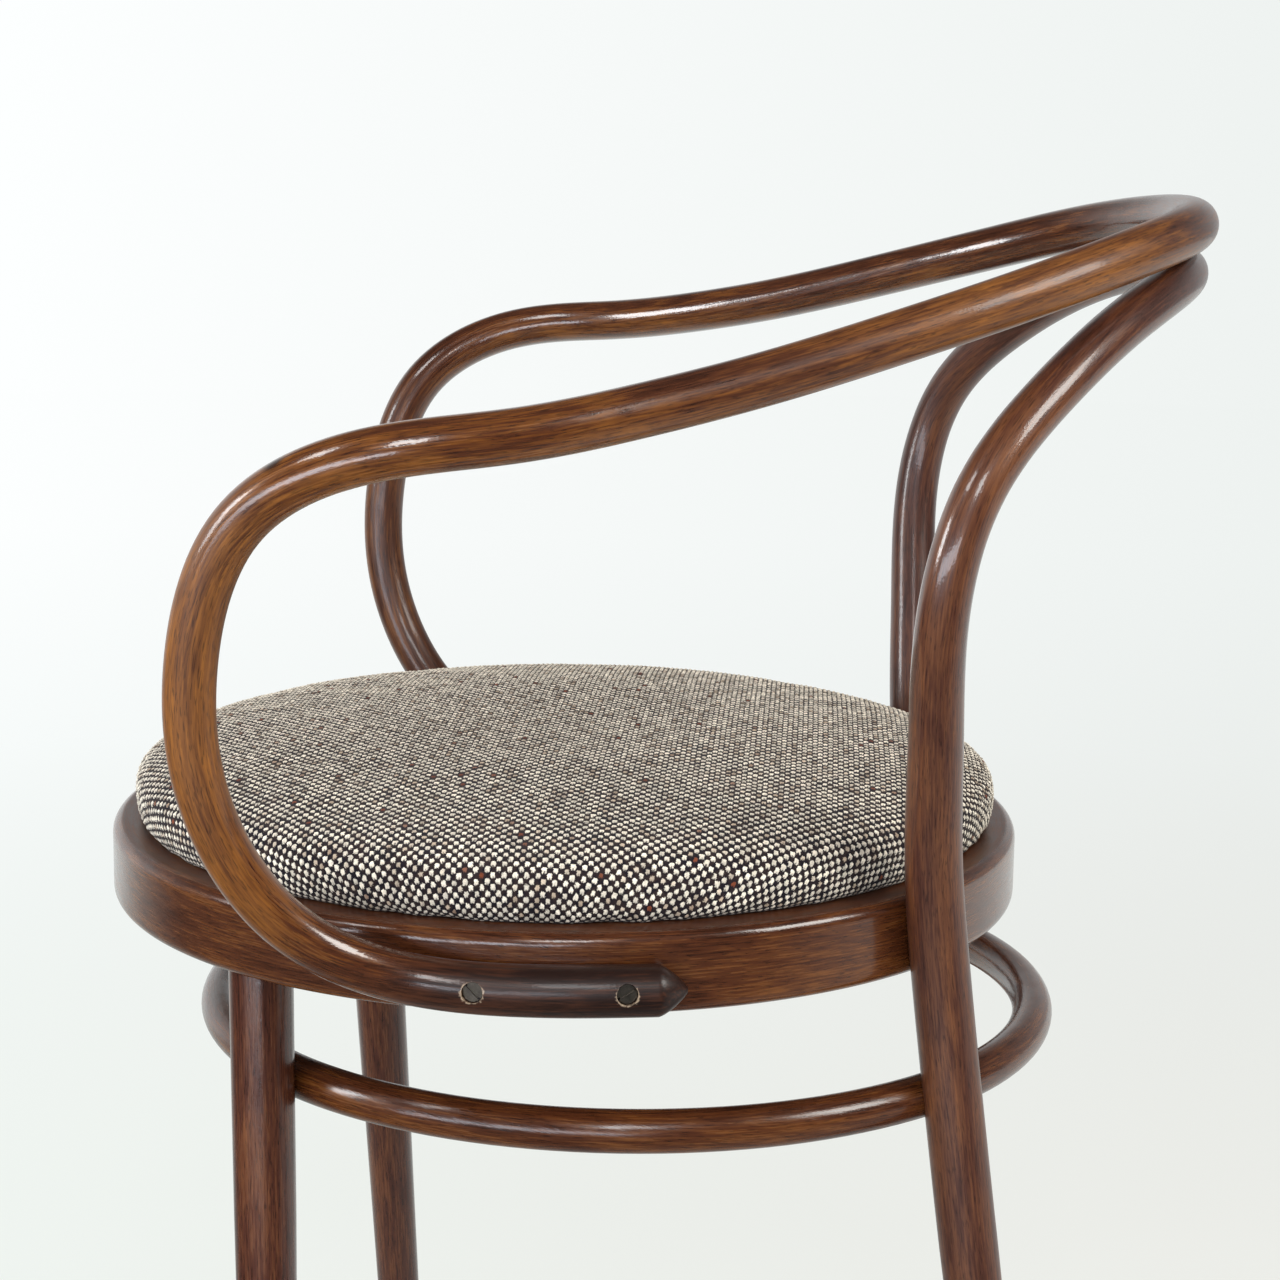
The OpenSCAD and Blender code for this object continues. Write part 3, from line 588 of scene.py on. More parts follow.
# Arm rod: distance and number of the closer sections at its tips, share of its radius left there and the two powers of
# their curve, then how much thicker its ends are, with the strength and the length of the fade as shares of half the
# rod
TIP_STEP, TIP_ROWS = 1.2 * MM, 12
TIP_LEFT, TIP_CURVE, TIP_ROUND = 0.12, 1.35, 0.9
STOUT, STOUT_START, STOUT_FADE = 0.06, 1.4, 0.14
# Rear leg: share of the ring's mid height from which it is at its full radius. Bow: heights over the ring, as shares,
# and how much of the change to the bow's radius is done there
LEG_FULL, BOW_HEIGHTS, BOW_DONE = 0.7, (0, 0.3, 0.65, 1), (0, 0.45, 1, 1)
# How far below the ring a rod is still kept clear of it
CLEAR_BELOW = 12 * MM
# Place of the knot in the straight arm rod, and its radius
KNOT = (0.3756, 0.0051, -0.0088, 5 * MM)

# How much lighter or darker the wood is drawn along a piece: share of its length, and tone added
ARM_DRIFT = (
    (0.0, -0.46), (0.055, -0.34), (0.10, 0.06), (0.15, 0.2), (0.20, 0.12), (0.25, 0.02), (0.31, -0.06), (0.36, 0.08),
    (0.42, 0.18), (0.47, -0.04), (0.50, -0.12), (0.58, -0.12), (0.70, -0.06), (0.80, -0.08), (0.90, -0.1), (1.0, -0.16),
)
BACK_DRIFT = (
    (0.0, 0.0), (0.2, -0.04), (0.3, 0.04), (0.34, -0.04), (0.385, 0.16), (0.42, 0.0), (0.5, -0.12), (0.7, -0.08),
    (1.0, -0.06),
)
EVEN_DRIFT = ((0.0, -0.06), (1.0, -0.06))

# How much of the varnish's shine is left along the rods: share of the length, and share of the shine
ARM_GLOSS = (
    (0.0, 0.12), (0.05, 0.2), (0.075, 0.95), (0.115, 0.85), (0.14, 0.25), (0.195, 0.35), (0.215, 1.0), (0.27, 1.0),
    (0.33, 0.55), (0.38, 0.3), (0.46, 0.35), (0.49, 0.55), (0.56, 0.9), (0.79, 0.9), (0.82, 0.3), (1.0, 0.3),
)
BACK_GLOSS = ((0.0, 0.35), (0.28, 0.35), (0.33, 0.8), (0.41, 0.6), (0.5, 0.5), (0.6, 0.4), (1.0, 0.35))
RING_GLOSS, HOOP_GLOSS, LEG_GLOSS = 0.5, 0.3, 0.35

# Scarfs of the ring and the hoop: the angle where the grain starts, and its slant in radians per metre of height
RING_SCARF, HOOP_SCARF = (1.75, 9.0), (3.0, 20.0)
# Edges of the new wooden pieces that are sharper than this many degrees stay sharp
SHARP = 32

# Pad: power of the crown's curve; shares of the tuck and of the waist's height, from the waist down; height under which
# the cloth is pinned, and its frames; where the rim closes over the ring and how much it is drawn in; how much of the
# height over the ring the weave's relief fades in, and its scatter and seed; how deep the foam lies in the cover; and
# points along the outlines of the form, the cover and the foam, with how far the first two are eased
CROWN_POWER = 5
PAD_TUCKS = ((0.08, 0.75), (0.3, 0.45), (0.62, 0.2), (1, 0))
CLOTH_PINNED, CLOTH_FRAMES = 4.5 * MM, 20
RIM_CLOSES, RIM_LEFT = 4 * MM, 0.99
RELIEF_FROM, RELIEF_FADE, RELIEF_SCATTER, RELIEF_SEED = 1 * MM, 3 * MM, 0.25, 7
FOAM_INSET = 3 * MM
FORM_POINTS, COVER_POINTS, FOAM_POINTS, PAD_EASE = 220, 420, 60, 1 * MM


def at_turn(radius, turn, z):
    return np.array([radius * cos(radians(turn)), radius * sin(radians(turn)), z])


def mirrored(half):
    """A half route followed by its mirror image in X, without the middle point twice."""
    return np.vstack([half, (half * (-1, 1, 1))[-2::-1]])


def arm_guides():
    """Guide points of half the arm rod, from its end on the ring to the middle of the rail."""
    foot = np.array([at_turn(RING_RADIUS + ARM_FOOT_OUT, s * ARM_END_TURN, ARM_FOOT_Z) for s in ARM_FOOT_SHARES])
    x, y, z = np.array(ARM_SHARES).T
    rest = np.stack([x * ARM_HALF, y * np.where(y < 0, LOOP_REACH, RAIL_REACH), ARM_FOOT_Z + z * RAIL_RISE], axis=1)
    return np.vstack([foot, rest])


def bow_guides(rods):
    """Guide points of half the bow and one rear leg, from the floor to the middle under the rail, and how far the bow's
    axis lies under the rail's there."""
    start = at_turn(RING_RADIUS + REAR_SEAT, REAR_TURN, RING_MID)
    splay = np.array([REAR_SPLAY_SIDE, REAR_SPLAY_BACK, RING_MID])
    leg = start * (1, 1, 0) + np.array(REAR_SHARES) * splay
    bow = start + np.array(BOW_SHARES) * (np.array([BOW_HALF, RAIL_REACH, RAIL_TOP]) - start)
    drop = ((rods.rail_radius + rods.bow_radius + rods.wood_gap) ** 2 - BOW_SET**2) ** 0.5
    tail = arm_guides()[-2:] + (0, -BOW_SET, -drop)
    return np.vstack([leg, bow, tail]), drop


def shifted(path):
    """Moves a path from the ring's axis to the model's origin."""
    return path + (0, RING_AXIS_Y, 0)


def level_holes(far, turn, z, way, radius, depth):
    """Two level round cutters, mirror images in X: each starts at that distance from the ring's axis and reaches
    outwards for way 1 or inwards for way -1, until it stands out of the piece."""
    place, out = at_turn(far, turn, z), at_turn(way, turn, 0)
    return [round_cutter(shifted(place * (side, 1, 1)), out * (side, 1, 1), radius, depth + OPEN) for side in (1, -1)]


def clear_ring(obj, gap):
    """Flattens a rod where it lies against the ring: points nearer the ring's axis than its outside plus the gap, at
    the ring's height or a little lower, move straight out onto that cylinder."""
    points = read_points(obj.data)
    flat = points[:, :2] - (0, RING_AXIS_Y)
    far = np.linalg.norm(flat, axis=1)
    inside = (far < RING_RADIUS + gap) & (points[:, 2] > RING_BOTTOM - CLEAR_BELOW) & (points[:, 2] < RING_TOP + gap)
    scale = np.where(inside, (RING_RADIUS + gap) / np.maximum(far, 1e-6), 1.0)
    points[:, :2] = flat * scale[:, None] + (0, RING_AXIS_Y)
    write_points(obj.data, points)


# ---------------------------------------------------------------- operators


def settings():
    return bpy.context.scene.armchair


def three_shades(finish, wood):
    """Light, middle and dark shade of a wood."""
    return [getattr(finish, wood + "_" + shade)[:] for shade in ("light", "mid", "dark")]


class ARMCHAIR_OT_arm_rod(bpy.types.Operator):
    """Sweep the rod that makes both arms and the back rail, with its screw holes"""

    bl_idname = "armchair.arm_rod"
    bl_label = "Arm and back rail"

    def execute(self, context):
        rods, finish = settings().rods, settings().finish
        guides = mirrored(arm_guides())
        last = len(guides) - 1
        u = even_steps(guides, 0, last, rods.step)
        tip = even_steps(guides, 0, 1, TIP_STEP)[:TIP_ROWS]
        u = np.unique(np.concatenate([tip, u[(u > tip[-1]) & (u < last - tip[-1])], last - tip]))
        path = shifted(spline(guides, u))
        run = running(path)
        middle = 1 - np.abs(run / run[-1] - 0.5) * 2
        near_tip = np.clip(np.minimum(run, run[-1] - run) / rods.nose_length, 0, 1)
        nose = TIP_LEFT + (1 - TIP_LEFT) * (1 - (1 - near_tip) ** TIP_CURVE) ** TIP_ROUND
        # The ends are left a little thicker where they lie against the ring
        stout = 1 + STOUT * np.clip(STOUT_START - middle / STOUT_FADE, 0, 1)
        radii = (rods.arm_radius + (rods.rail_radius - rods.arm_radius) * middle) * nose * stout
        outwards = path * (1, 1, 0) - (0, RING_AXIS_Y, 0)
        obj = rod("arm_rod", path, radii, outwards, rods.sides)
        clear_ring(obj, rods.wood_gap)
        z = ARM_FOOT_Z + ARM_SCREW_LIFT
        outside = RING_RADIUS + ARM_FOOT_OUT + rods.arm_radius
        holes = bow_screw_holes(rods)
        for turn in ARM_SCREW_TURNS:
            holes += level_holes(outside - ARM_BORE, turn, z, 1, ARM_SCREW_HOLE, ARM_BORE)
        cut(obj, holes)
        straighten(obj, path, outwards)
        chips = [shifted(at_turn(outside, turn, z)) for turn in ARM_SCREW_TURNS]
        material = varnished_beech(
            "Walnut-stained beech, arm rod", rod_grain, three_shades(finish, "rail"), ARM_DRIFT, ARM_GLOSS, run[-1],
            chips, KNOT,
        )
        finish_piece(obj, ["arm_bow"], material, SHARP)
        return {"FINISHED"}


def bow_screw_holes(rods):
    """Upright round cutters for the three screws that hold the bow under the rail."""
    low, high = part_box("bow_screws")
    y, z = (low.y + high.y) / 2, arm_guides()[-1][2] - bow_guides(rods)[1] - rods.bow_radius - OPEN
    places = (-BOW_SCREW_PITCH, 0, BOW_SCREW_PITCH)
    return [round_cutter((x, y, z), (0, 0, 1), SCREW_HOLE, OPEN + BOW_BORE) for x in places]


class ARMCHAIR_OT_back_rod(bpy.types.Operator):
    """Sweep the rod that makes the rear legs and the inner bow"""

    bl_idname = "armchair.back_rod"
    bl_label = "Back bow and rear legs"

    def execute(self, context):
        rods, finish = settings().rods, settings().finish
        half, drop = bow_guides(rods)
        guides = mirrored(half)
        last = len(guides) - 1
        # The legs start on top of their glides
        fine = np.linspace(0, 1, 400)
        start = np.interp(GLIDE_HEIGHT, spline(guides, fine)[:, 2], fine)
        path = shifted(spline(guides, even_steps(guides, start, last - start, rods.step)))
        low_share = np.clip(path[:, 2] / RING_MID / LEG_FULL, 0, 1)
        high_share = np.interp((path[:, 2] - RING_MID) / (RAIL_TOP - drop - RING_MID), BOW_HEIGHTS, BOW_DONE)
        radii = np.where(
            path[:, 2] < RING_MID,
            rods.foot_radius + (rods.leg_radius - rods.foot_radius) * low_share,
            rods.leg_radius - (rods.leg_radius - rods.bow_radius) * high_share,
        )
        backwards = np.broadcast_to(np.array([0.0, 1.0, 0.0]), path.shape)
        obj = rod("back_rod", path, radii, backwards, rods.sides, flat_ends=GLIDE_HEIGHT)
        clear_ring(obj, rods.wood_gap)
        hoop = ring_tube("hoop_cut", (0, HOOP_AXIS_Y, HOOP_Z), HOOP_RADIUS, HOOP_ROD + rods.wood_gap)
        cut(obj, [hoop] + bow_screw_holes(rods))
        straighten(obj, path, backwards)
        material = varnished_beech(
            "Walnut-stained beech, bow and rear legs", rod_grain, three_shades(finish, "leg"), BACK_DRIFT, BACK_GLOSS,
            running(path)[-1],
        )
        finish_piece(obj, ["back_bow"], material, SHARP)
        return {"FINISHED"}


def ring_bar(name, steps=256, arc=8, flat=5):
    """The ring as a closed surface: the section is a rectangle with four quarter circles as corners, and it is carried
    round the upright axis."""
    soft = RING_SOFT
    corners = (
        (RING_RADIUS, RING_TOP, 90, 0), (RING_RADIUS, RING_BOTTOM, 0, -90), (RING_INNER, RING_BOTTOM, -90, -180),
        (RING_INNER, RING_TOP, 180, 90),
    )
    section = []
    for out, z, first, last in corners:
        a = np.radians(np.linspace(first, last, arc))
        centre = np.array([out - soft if out == RING_RADIUS else out + soft, z - soft if z == RING_TOP else z + soft])
        section.append(centre + soft * np.stack([np.cos(a), np.sin(a)], axis=1))
    ends = np.stack([s[-1] for s in section]), np.roll(np.stack([s[0] for s in section]), -1, axis=0)
    between = np.linspace(0, 1, flat + 2)[1:-1, None, None]
    straight = ends[0] + between * (ends[1] - ends[0])
    section = np.vstack([np.vstack([s, straight[:, k]]) for k, s in enumerate(section)])
    turn = 2 * pi * np.arange(steps)[:, None] / steps
    points = np.stack(
        [section[:, 0] * np.cos(turn), section[:, 0] * np.sin(turn) + RING_AXIS_Y, section[:, 1] + 0 * turn], axis=-1
    )
    return new_mesh(name, points.reshape(-1, 3), grid_faces(steps, len(section), closed=True).tolist())


def ring_holes():
    """Round cutters for the ring: counterbores of the rear leg and tenon screws in its inner face, those of the pad
    screws from below, and the two slanting holes of the front legs' tenons."""
    holes = []
    half = REAR_SCREW_PITCH / 2
    for turn, z in ((REAR_HEAD_TURN, RING_MID + half), (REAR_HEAD_TURN, RING_MID - half), (FRONT_TURN, RING_MID)):
        holes += level_holes(RING_INNER + RING_BORE, turn, z, -1, FRAME_HOLE, RING_BORE)
    for side in (1, -1):
        lean = unit(np.array([-side * FRONT_LEAN[0], -FRONT_LEAN[1], 1.0]))
        foot = shifted(at_turn(RING_RADIUS - RING_WIDE / 2, FRONT_TURN, RING_BOTTOM) * (side, 1, 1))
        holes.append(round_cutter(foot - lean * OPEN, lean, TENON_HOLE, OPEN + TENON_DEEP))
    for turn in PAD_SCREW_TURNS:
        place = shifted(at_turn(RING_INNER + PAD_SCREW_IN, turn, RING_BOTTOM - OPEN))
        holes.append(round_cutter(place, (0, 0, 1), FRAME_HOLE, OPEN + PAD_BORE))
    return holes


class ARMCHAIR_OT_turned_wood(bpy.types.Operator):
    """Turn the seat ring, and finish the leg hoop and the front legs"""

    bl_idname = "armchair.turned_wood"
    bl_label = "Ring, hoop and front legs"

    def execute(self, context):
        finish = settings().finish
        shades, leg_shades = three_shades(finish, "ring"), three_shades(finish, "leg")
        ring_grain = round_grain(RING_AXIS_Y, RING_RADIUS, *RING_SCARF)
        hoop_grain = round_grain(HOOP_AXIS_Y, HOOP_RADIUS, *HOOP_SCARF)
        ring = varnished_beech(
            "Walnut-stained beech, seat ring", ring_grain, shades, EVEN_DRIFT, RING_GLOSS, dull_top=True
        )
        bar = ring_bar("ring_bar")
        cut(bar, ring_holes())
        finish_piece(bar, ["seat_ring"], ring, SHARP)
        hoop = varnished_beech("Walnut-stained beech, hoop", hoop_grain, shades, EVEN_DRIFT, HOOP_GLOSS)
        finish_node("leg_hoop", hoop)
        # The right leg's grain starts 3 m further on, so that the legs differ
        for name, side, offset in (("front_leg_left", 1, 0.0), ("front_leg_right", -1, 3.0)):
            grain = leg_grain(side * FRONT_LEAN[0], FRONT_LEAN[1], offset)
            title = "Walnut-stained beech, " + name.replace("_", " ")
            finish_node(name, varnished_beech(title, grain, leg_shades, EVEN_DRIFT, LEG_GLOSS))
        return {"FINISHED"}


def pad_outline(pad, inset, lift=0.0, steps=64):
    """Half section of the pad from the crown outwards and down to the hem, as distance and height: over the waist the
    height is the crown times the root of one less the share of the radius to the crown's power, under it the side draws
    in."""
    r, z0 = pad.radius - inset, RING_TOP + lift
    a = np.linspace(0, pi / 2, steps)
    share = np.sin(a)
    waist = RING_TOP + pad.waist
    top = np.stack([r * share, waist + (pad.crown - inset) * np.sqrt(np.maximum(1 - share**CROWN_POWER, 0))], axis=1)
    tucks = np.array(PAD_TUCKS)
    low = np.stack([r - tucks[:, 0] * pad.tuck, z0 + tucks[:, 1] * (waist - z0)], axis=1)
    return np.vstack([top, low, [(pad.hem, z0)]])


def smooth_outline(outline, count, ease=2 * MM):
    """The outline again as points an even length apart, with its corners eased by a running mean over twice the
    ease."""
    run = running(outline)
    even = np.linspace(0, run[-1], count)
    line = np.stack([np.interp(even, run, outline[:, 0]), np.interp(even, run, outline[:, 1])], axis=1)
    width = max(1, int(round(ease / even[1])))
    wide = np.pad(line, ((width, width), (0, 0)), mode="reflect", reflect_type="odd")
    kernel = np.ones(2 * width + 1) / (2 * width + 1)
    soft = np.stack([np.convolve(wide[:, k], kernel, "valid") for k in (0, 1)], axis=1)
    soft[0, 0] = 0
    return soft


def turned_form(name, outline, sides=160):
    """A closed surface of revolution from an outline that starts on the axis: the outline turned round the ring's axis,
    with a flat fan as its floor."""
    turn = 2 * pi * np.arange(sides) / sides
    body = outline[1:]
    out, z = body[:, :1], np.repeat(body[:, 1:], sides, axis=1)
    grid = np.stack([out * np.cos(turn), out * np.sin(turn) + RING_AXIS_Y, z], axis=-1)
    poles = [(0, RING_AXIS_Y, outline[0, 1]), (0, RING_AXIS_Y, outline[-1, 1])]
    points = np.vstack([grid.reshape(-1, 3), poles])
    n = len(body)
    quads = grid_faces(n, sides)[:, ::-1].tolist()
    faces = fan_faces(np.arange(sides), n * sides, False) + quads
    faces += fan_faces((n - 1) * sides + np.arange(sides), n * sides + 1, True)
    return new_mesh(name, points, faces)


def swell(form, pad):
    """Blows the pad up as cloth: voxel remesh, light pressure inside, the cloth cut 1% too large, no gravity, the
    underside pinned, and no point moves further than the swell. One subdivision rounds the result."""
    remesh = form.modifiers.new("Remesh", "REMESH")
    remesh.mode, remesh.voxel_size = "VOXEL", pad.voxel
    bake(form)
    start = read_points(form.data)
    pinned = np.nonzero(start[:, 2] < RING_TOP + CLOTH_PINNED)[0]
    form.vertex_groups.new(name="pin").add(pinned.tolist(), 1.0, "REPLACE")
    cloth = form.modifiers.new("Cloth", "CLOTH")
    made = cloth.settings
    made.quality, made.mass, made.vertex_group_mass = 5, 0.3, "pin"
    made.use_pressure, made.uniform_pressure_force = True, pad.pressure
    made.effector_weights.gravity = 0
    made.tension_stiffness = made.compression_stiffness = made.shear_stiffness = 15
    made.bending_stiffness = 5
    made.shrink_min = -0.01
    cloth.point_cache.frame_start, cloth.point_cache.frame_end = 1, CLOTH_FRAMES
    scene = bpy.context.scene
    for moment in range(1, CLOTH_FRAMES + 1):
        scene.frame_set(moment)
    bake(form)
    scene.frame_set(1)
    moved = read_points(form.data) - start
    far = np.linalg.norm(moved, axis=1, keepdims=True)
    write_points(form.data, start + moved * np.minimum(1, pad.swell / np.maximum(far, 1e-9)))
    smooth = form.modifiers.new("Subdivision", "SUBSURF")
    smooth.levels = smooth.render_levels = 1
    bake(form)


def weave_cover(name, outline, pad):
    """The cover as a woven sheet: a square grid of yarn cells lies on the pad so that the distance of each corner from
    the crown, measured over the pad, is its distance from the middle of the grid. Cells past the hem are left out and
    the rest of the rim moves onto it. Each cell has a point in its middle. Gives the cover, each point's place in the
    grid, and which points are middles."""
    run = running(outline)
    reach = run[-1]
    columns, rows = int(np.ceil(reach / pad.warp_pitch)) + 1, int(np.ceil(reach / pad.weft_pitch)) + 1
    gi, gj = np.meshgrid(np.arange(-columns, columns + 1), np.arange(-rows, rows + 1), indexing="ij")
    mi, mj = np.meshgrid(np.arange(-columns, columns) + 0.5, np.arange(-rows, rows) + 0.5, indexing="ij")
    flat = np.vstack([np.stack([gi, gj], -1).reshape(-1, 2), np.stack([mi, mj], -1).reshape(-1, 2)])
    far = np.hypot(flat[:, 0] * pad.warp_pitch, flat[:, 1] * pad.weft_pitch)
    turn = np.arctan2(flat[:, 1] * pad.weft_pitch, flat[:, 0] * pad.warp_pitch)
    held = np.minimum(far, reach)
    out, up = np.interp(held, run, outline[:, 0]), np.interp(held, run, outline[:, 1])
    points = np.stack([-out * np.sin(turn), out * np.cos(turn) + RING_AXIS_Y, up], axis=1)
    wide, high = 2 * columns, 2 * rows
    corner = (np.arange(wide)[:, None] * (high + 1) + np.arange(high)[None, :]).ravel()
    middle = gi.size + np.arange(wide * high)
    quad = np.stack([corner, corner + high + 1, corner + high + 2, corner + 1], axis=1)
    keep = (far[quad] < reach).sum(1) >= 3
    keep |= (far[middle] < reach) & ((far[quad] < reach).sum(1) >= 2)
    quad, middle = quad[keep], middle[keep]
    tris = np.concatenate([np.stack([quad[:, k], quad[:, (k + 1) % 4], middle], axis=1) for k in range(4)])
    used, inverse = np.unique(tris, return_inverse=True)
    tris = inverse.reshape(tris.shape)
    points, flat = points[used], flat[used]
    obj = new_mesh(name, points, tris.tolist())
    return obj, flat, used >= gi.size


def close_rim(obj, height):
    """Closes the cover: the open rim is carried up to the height inside the board and filled with one flat face."""
    shape = bmesh.new()
    shape.from_mesh(obj.data)
    rim = [e for e in shape.edges if e.is_boundary]
    made = bmesh.ops.extrude_edge_only(shape, edges=rim)["geom"]
    for v in (g for g in made if isinstance(g, bmesh.types.BMVert)):
        v.co.z = height
        v.co.x, v.co.y = v.co.x * RIM_LEFT, (v.co.y - RING_AXIS_Y) * RIM_LEFT + RING_AXIS_Y
    edges = [g for g in made if isinstance(g, bmesh.types.BMEdge)]
    bmesh.ops.holes_fill(shape, edges=edges, sides=0)
    bmesh.ops.recalc_face_normals(shape, faces=shape.faces)
    bmesh.ops.triangulate(shape, faces=[f for f in shape.faces if len(f.verts) > 4])
    shape.to_mesh(obj.data)
    shape.free()


class ARMCHAIR_OT_pad(bpy.types.Operator):
    """Swell the pad, lay the woven cover over it and put the foam inside"""

    bl_idname = "armchair.pad"
    bl_label = "Woven pad"

    def execute(self, context):
        pad, finish = settings().pad, settings().finish
        start = smooth_outline(pad_outline(pad, 1 * MM), FORM_POINTS, PAD_EASE)
        form = turned_form("pad_form", start)
        swell(form, pad)
        outline = smooth_outline(pad_outline(pad, 0.0), COVER_POINTS, PAD_EASE)
        cover, flat, centres = weave_cover("pad_cover", outline, pad)
        wrap = cover.modifiers.new("Shrinkwrap", "SHRINKWRAP")
        wrap.target, wrap.wrap_method = form, "NEAREST_SURFACEPOINT"
        bake(cover)
        bpy.data.objects.remove(form)
        points = read_points(cover.data)
        points[:, 2] = np.maximum(points[:, 2], RING_TOP)
        write_points(cover.data, points)
        normals = np.empty(len(points) * 3, np.float32)
        cover.data.vertex_normals.foreach_get("vector", normals)
        light = (np.floor(flat[:, 0]) + np.floor(flat[:, 1])) % 2 == 0
        lift = np.where(centres, np.where(light, pad.nub, -pad.dip), 0.0)
        lift *= np.clip((points[:, 2] - RING_TOP - RELIEF_FROM) / RELIEF_FADE, 0, 1)
        rng = np.random.default_rng(RELIEF_SEED)
        lift *= rng.uniform(1 - RELIEF_SCATTER, 1 + RELIEF_SCATTER, len(lift))
        write_points(cover.data, points + normals.reshape(-1, 3) * lift[:, None])
        layer = cover.data.uv_layers.new(name="weave")
        corner = np.empty(len(cover.data.loops), np.int32)
        cover.data.loops.foreach_get("vertex_index", corner)
        layer.data.foreach_set("uv", flat[corner].astype(np.float32).ravel())
        close_rim(cover, RING_TOP + RIM_CLOSES)
        finish_piece(cover, ["seat_cover"], tweed("Wool tweed, basket weave", finish))
        inner = pad_outline(pad, pad.cover + FOAM_INSET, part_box("seat_foam")[0].z - RING_TOP)
        foam = turned_form("foam_body", smooth_outline(inner, FOAM_POINTS), sides=96)
        # Open foam: matt, with cells of 1.4 mm
        material = mottled("Open-cell polyurethane foam", finish.foam, 0.12, 60, 0.4, Roughness=0.95)
        finish_piece(foam, ["seat_foam"], material)
        return {"FINISHED"}


class ARMCHAIR_OT_underside(bpy.types.Operator):
    """Finish the board and the dust cover"""

    bl_idname = "armchair.underside"
    bl_label = "Board and dust cover"

    def execute(self, context):
        finish = settings().finish
        # Rotary-cut beech plywood: pale and cloudy at 33 mm, with a grain of 3 mm
        board = mottled("Beech plywood", finish.ply, 0.16, 30, 0.1, Roughness=0.6)
        # Spun polypropylene lining: black and matt, with clouds of 8 mm and bonded fibres of 0.7 mm
        lining = mottled("Spun polypropylene lining", finish.lining, 0.35, 120, 0.15, Roughness=0.85)
        finish_node("seat_board", board)
        finish_node("dust_cover", lining)
        return {"FINISHED"}


class ARMCHAIR_OT_fixings(bpy.types.Operator):
    """Finish the screws, the staples and the foot glides"""

    bl_idname = "armchair.fixings"
    bl_label = "Screws, staples and glides"

    def execute(self, context):
        finish = settings().finish
        # Old steel screws: browned in spots of 2 mm, with a grain of 0.2 mm
        steel = mottled("Aged steel screws", finish.steel, 0.45, 500, 0.05, Metallic=1.0, Roughness=0.42)
        # Drawn steel wire, galvanised: pale and even, with spots of 3 mm
        wire = mottled("Galvanised wire", finish.nickel, 0.2, 300, 0.02, Metallic=1.0, Roughness=0.35)
        # Pressed and nickelled glides: smooth, with scuffs of 7 mm
        nickel = mottled("Nickelled steel glides", finish.nickel, 0.25, 150, 0.03, Metallic=1.0, Roughness=0.3)
        # The arm screws' heads keep their nickel, dulled in spots of 2 mm
        plated = mottled("Nickelled steel screws", linear("#7b746a"), 0.4, 500, 0.05, Metallic=1.0, Roughness=0.34)
        finish_node("arm_screws_left", plated)
        finish_node("arm_screws_right", plated)
        for name in ("rear_leg_screws", "tenon_screws", "hoop_screws", "bow_screws", "pad_screws"):
            finish_node(name, steel)
        finish_node("cover_staples", wire)
        finish_node("foot_glides", nickel)
        return {"FINISHED"}


# Where the backdrop is seen from: distance along +X and height
VIEWER = (1.35, 0.8)

# Softboxes round the chair, unseen by the camera: name, turn from +X and height in degrees as seen from the seat, width
# and height in metres, share of the full brightness and colour
SOFTBOXES = (
    ("Right softbox", 68, 32, 0.95, 0.80, 0.65, "#fffcf6"),
    ("Left softbox", -74, 14, 0.45, 0.65, 1.0, "#fbfdff"),
    ("Top softbox", 4, 31, 0.50, 0.55, 0.70, "#ffffff"),
    ("High softbox", -54, 44, 0.45, 0.45, 0.6, "#ffffff"),
    ("Left window", -24, 0, 2.40, 0.42, 0.42, "#f0f5ff"),
)
# Height that the softboxes face, and radius of the paper
SOFTBOX_AIM, PAPER_RADIUS = 0.6, 6.0


def softbox(stage, name, turn, rise, width, height, share, shade):
    """A rectangular area lamp that faces the seat: its power is pi times its area times its brightness."""
    data = bpy.data.lights.new(name, "AREA")
    data.shape, data.size, data.size_y = "RECTANGLE", width, height
    data.energy, data.color = pi * width * height * share * stage.brightness, linear(shade)[:3]
    lamp = bpy.data.objects.new(name, data)
    bpy.context.scene.collection.objects.link(lamp)
    t, r = radians(turn), radians(rise)
    lamp.location = np.array([cos(r) * cos(t), cos(r) * sin(t), sin(r)]) * stage.lamp_reach + (0, 0, SOFTBOX_AIM)
    lamp.rotation_euler = Euler((pi / 2 - r, 0, t + pi / 2))
    lamp.visible_camera = False


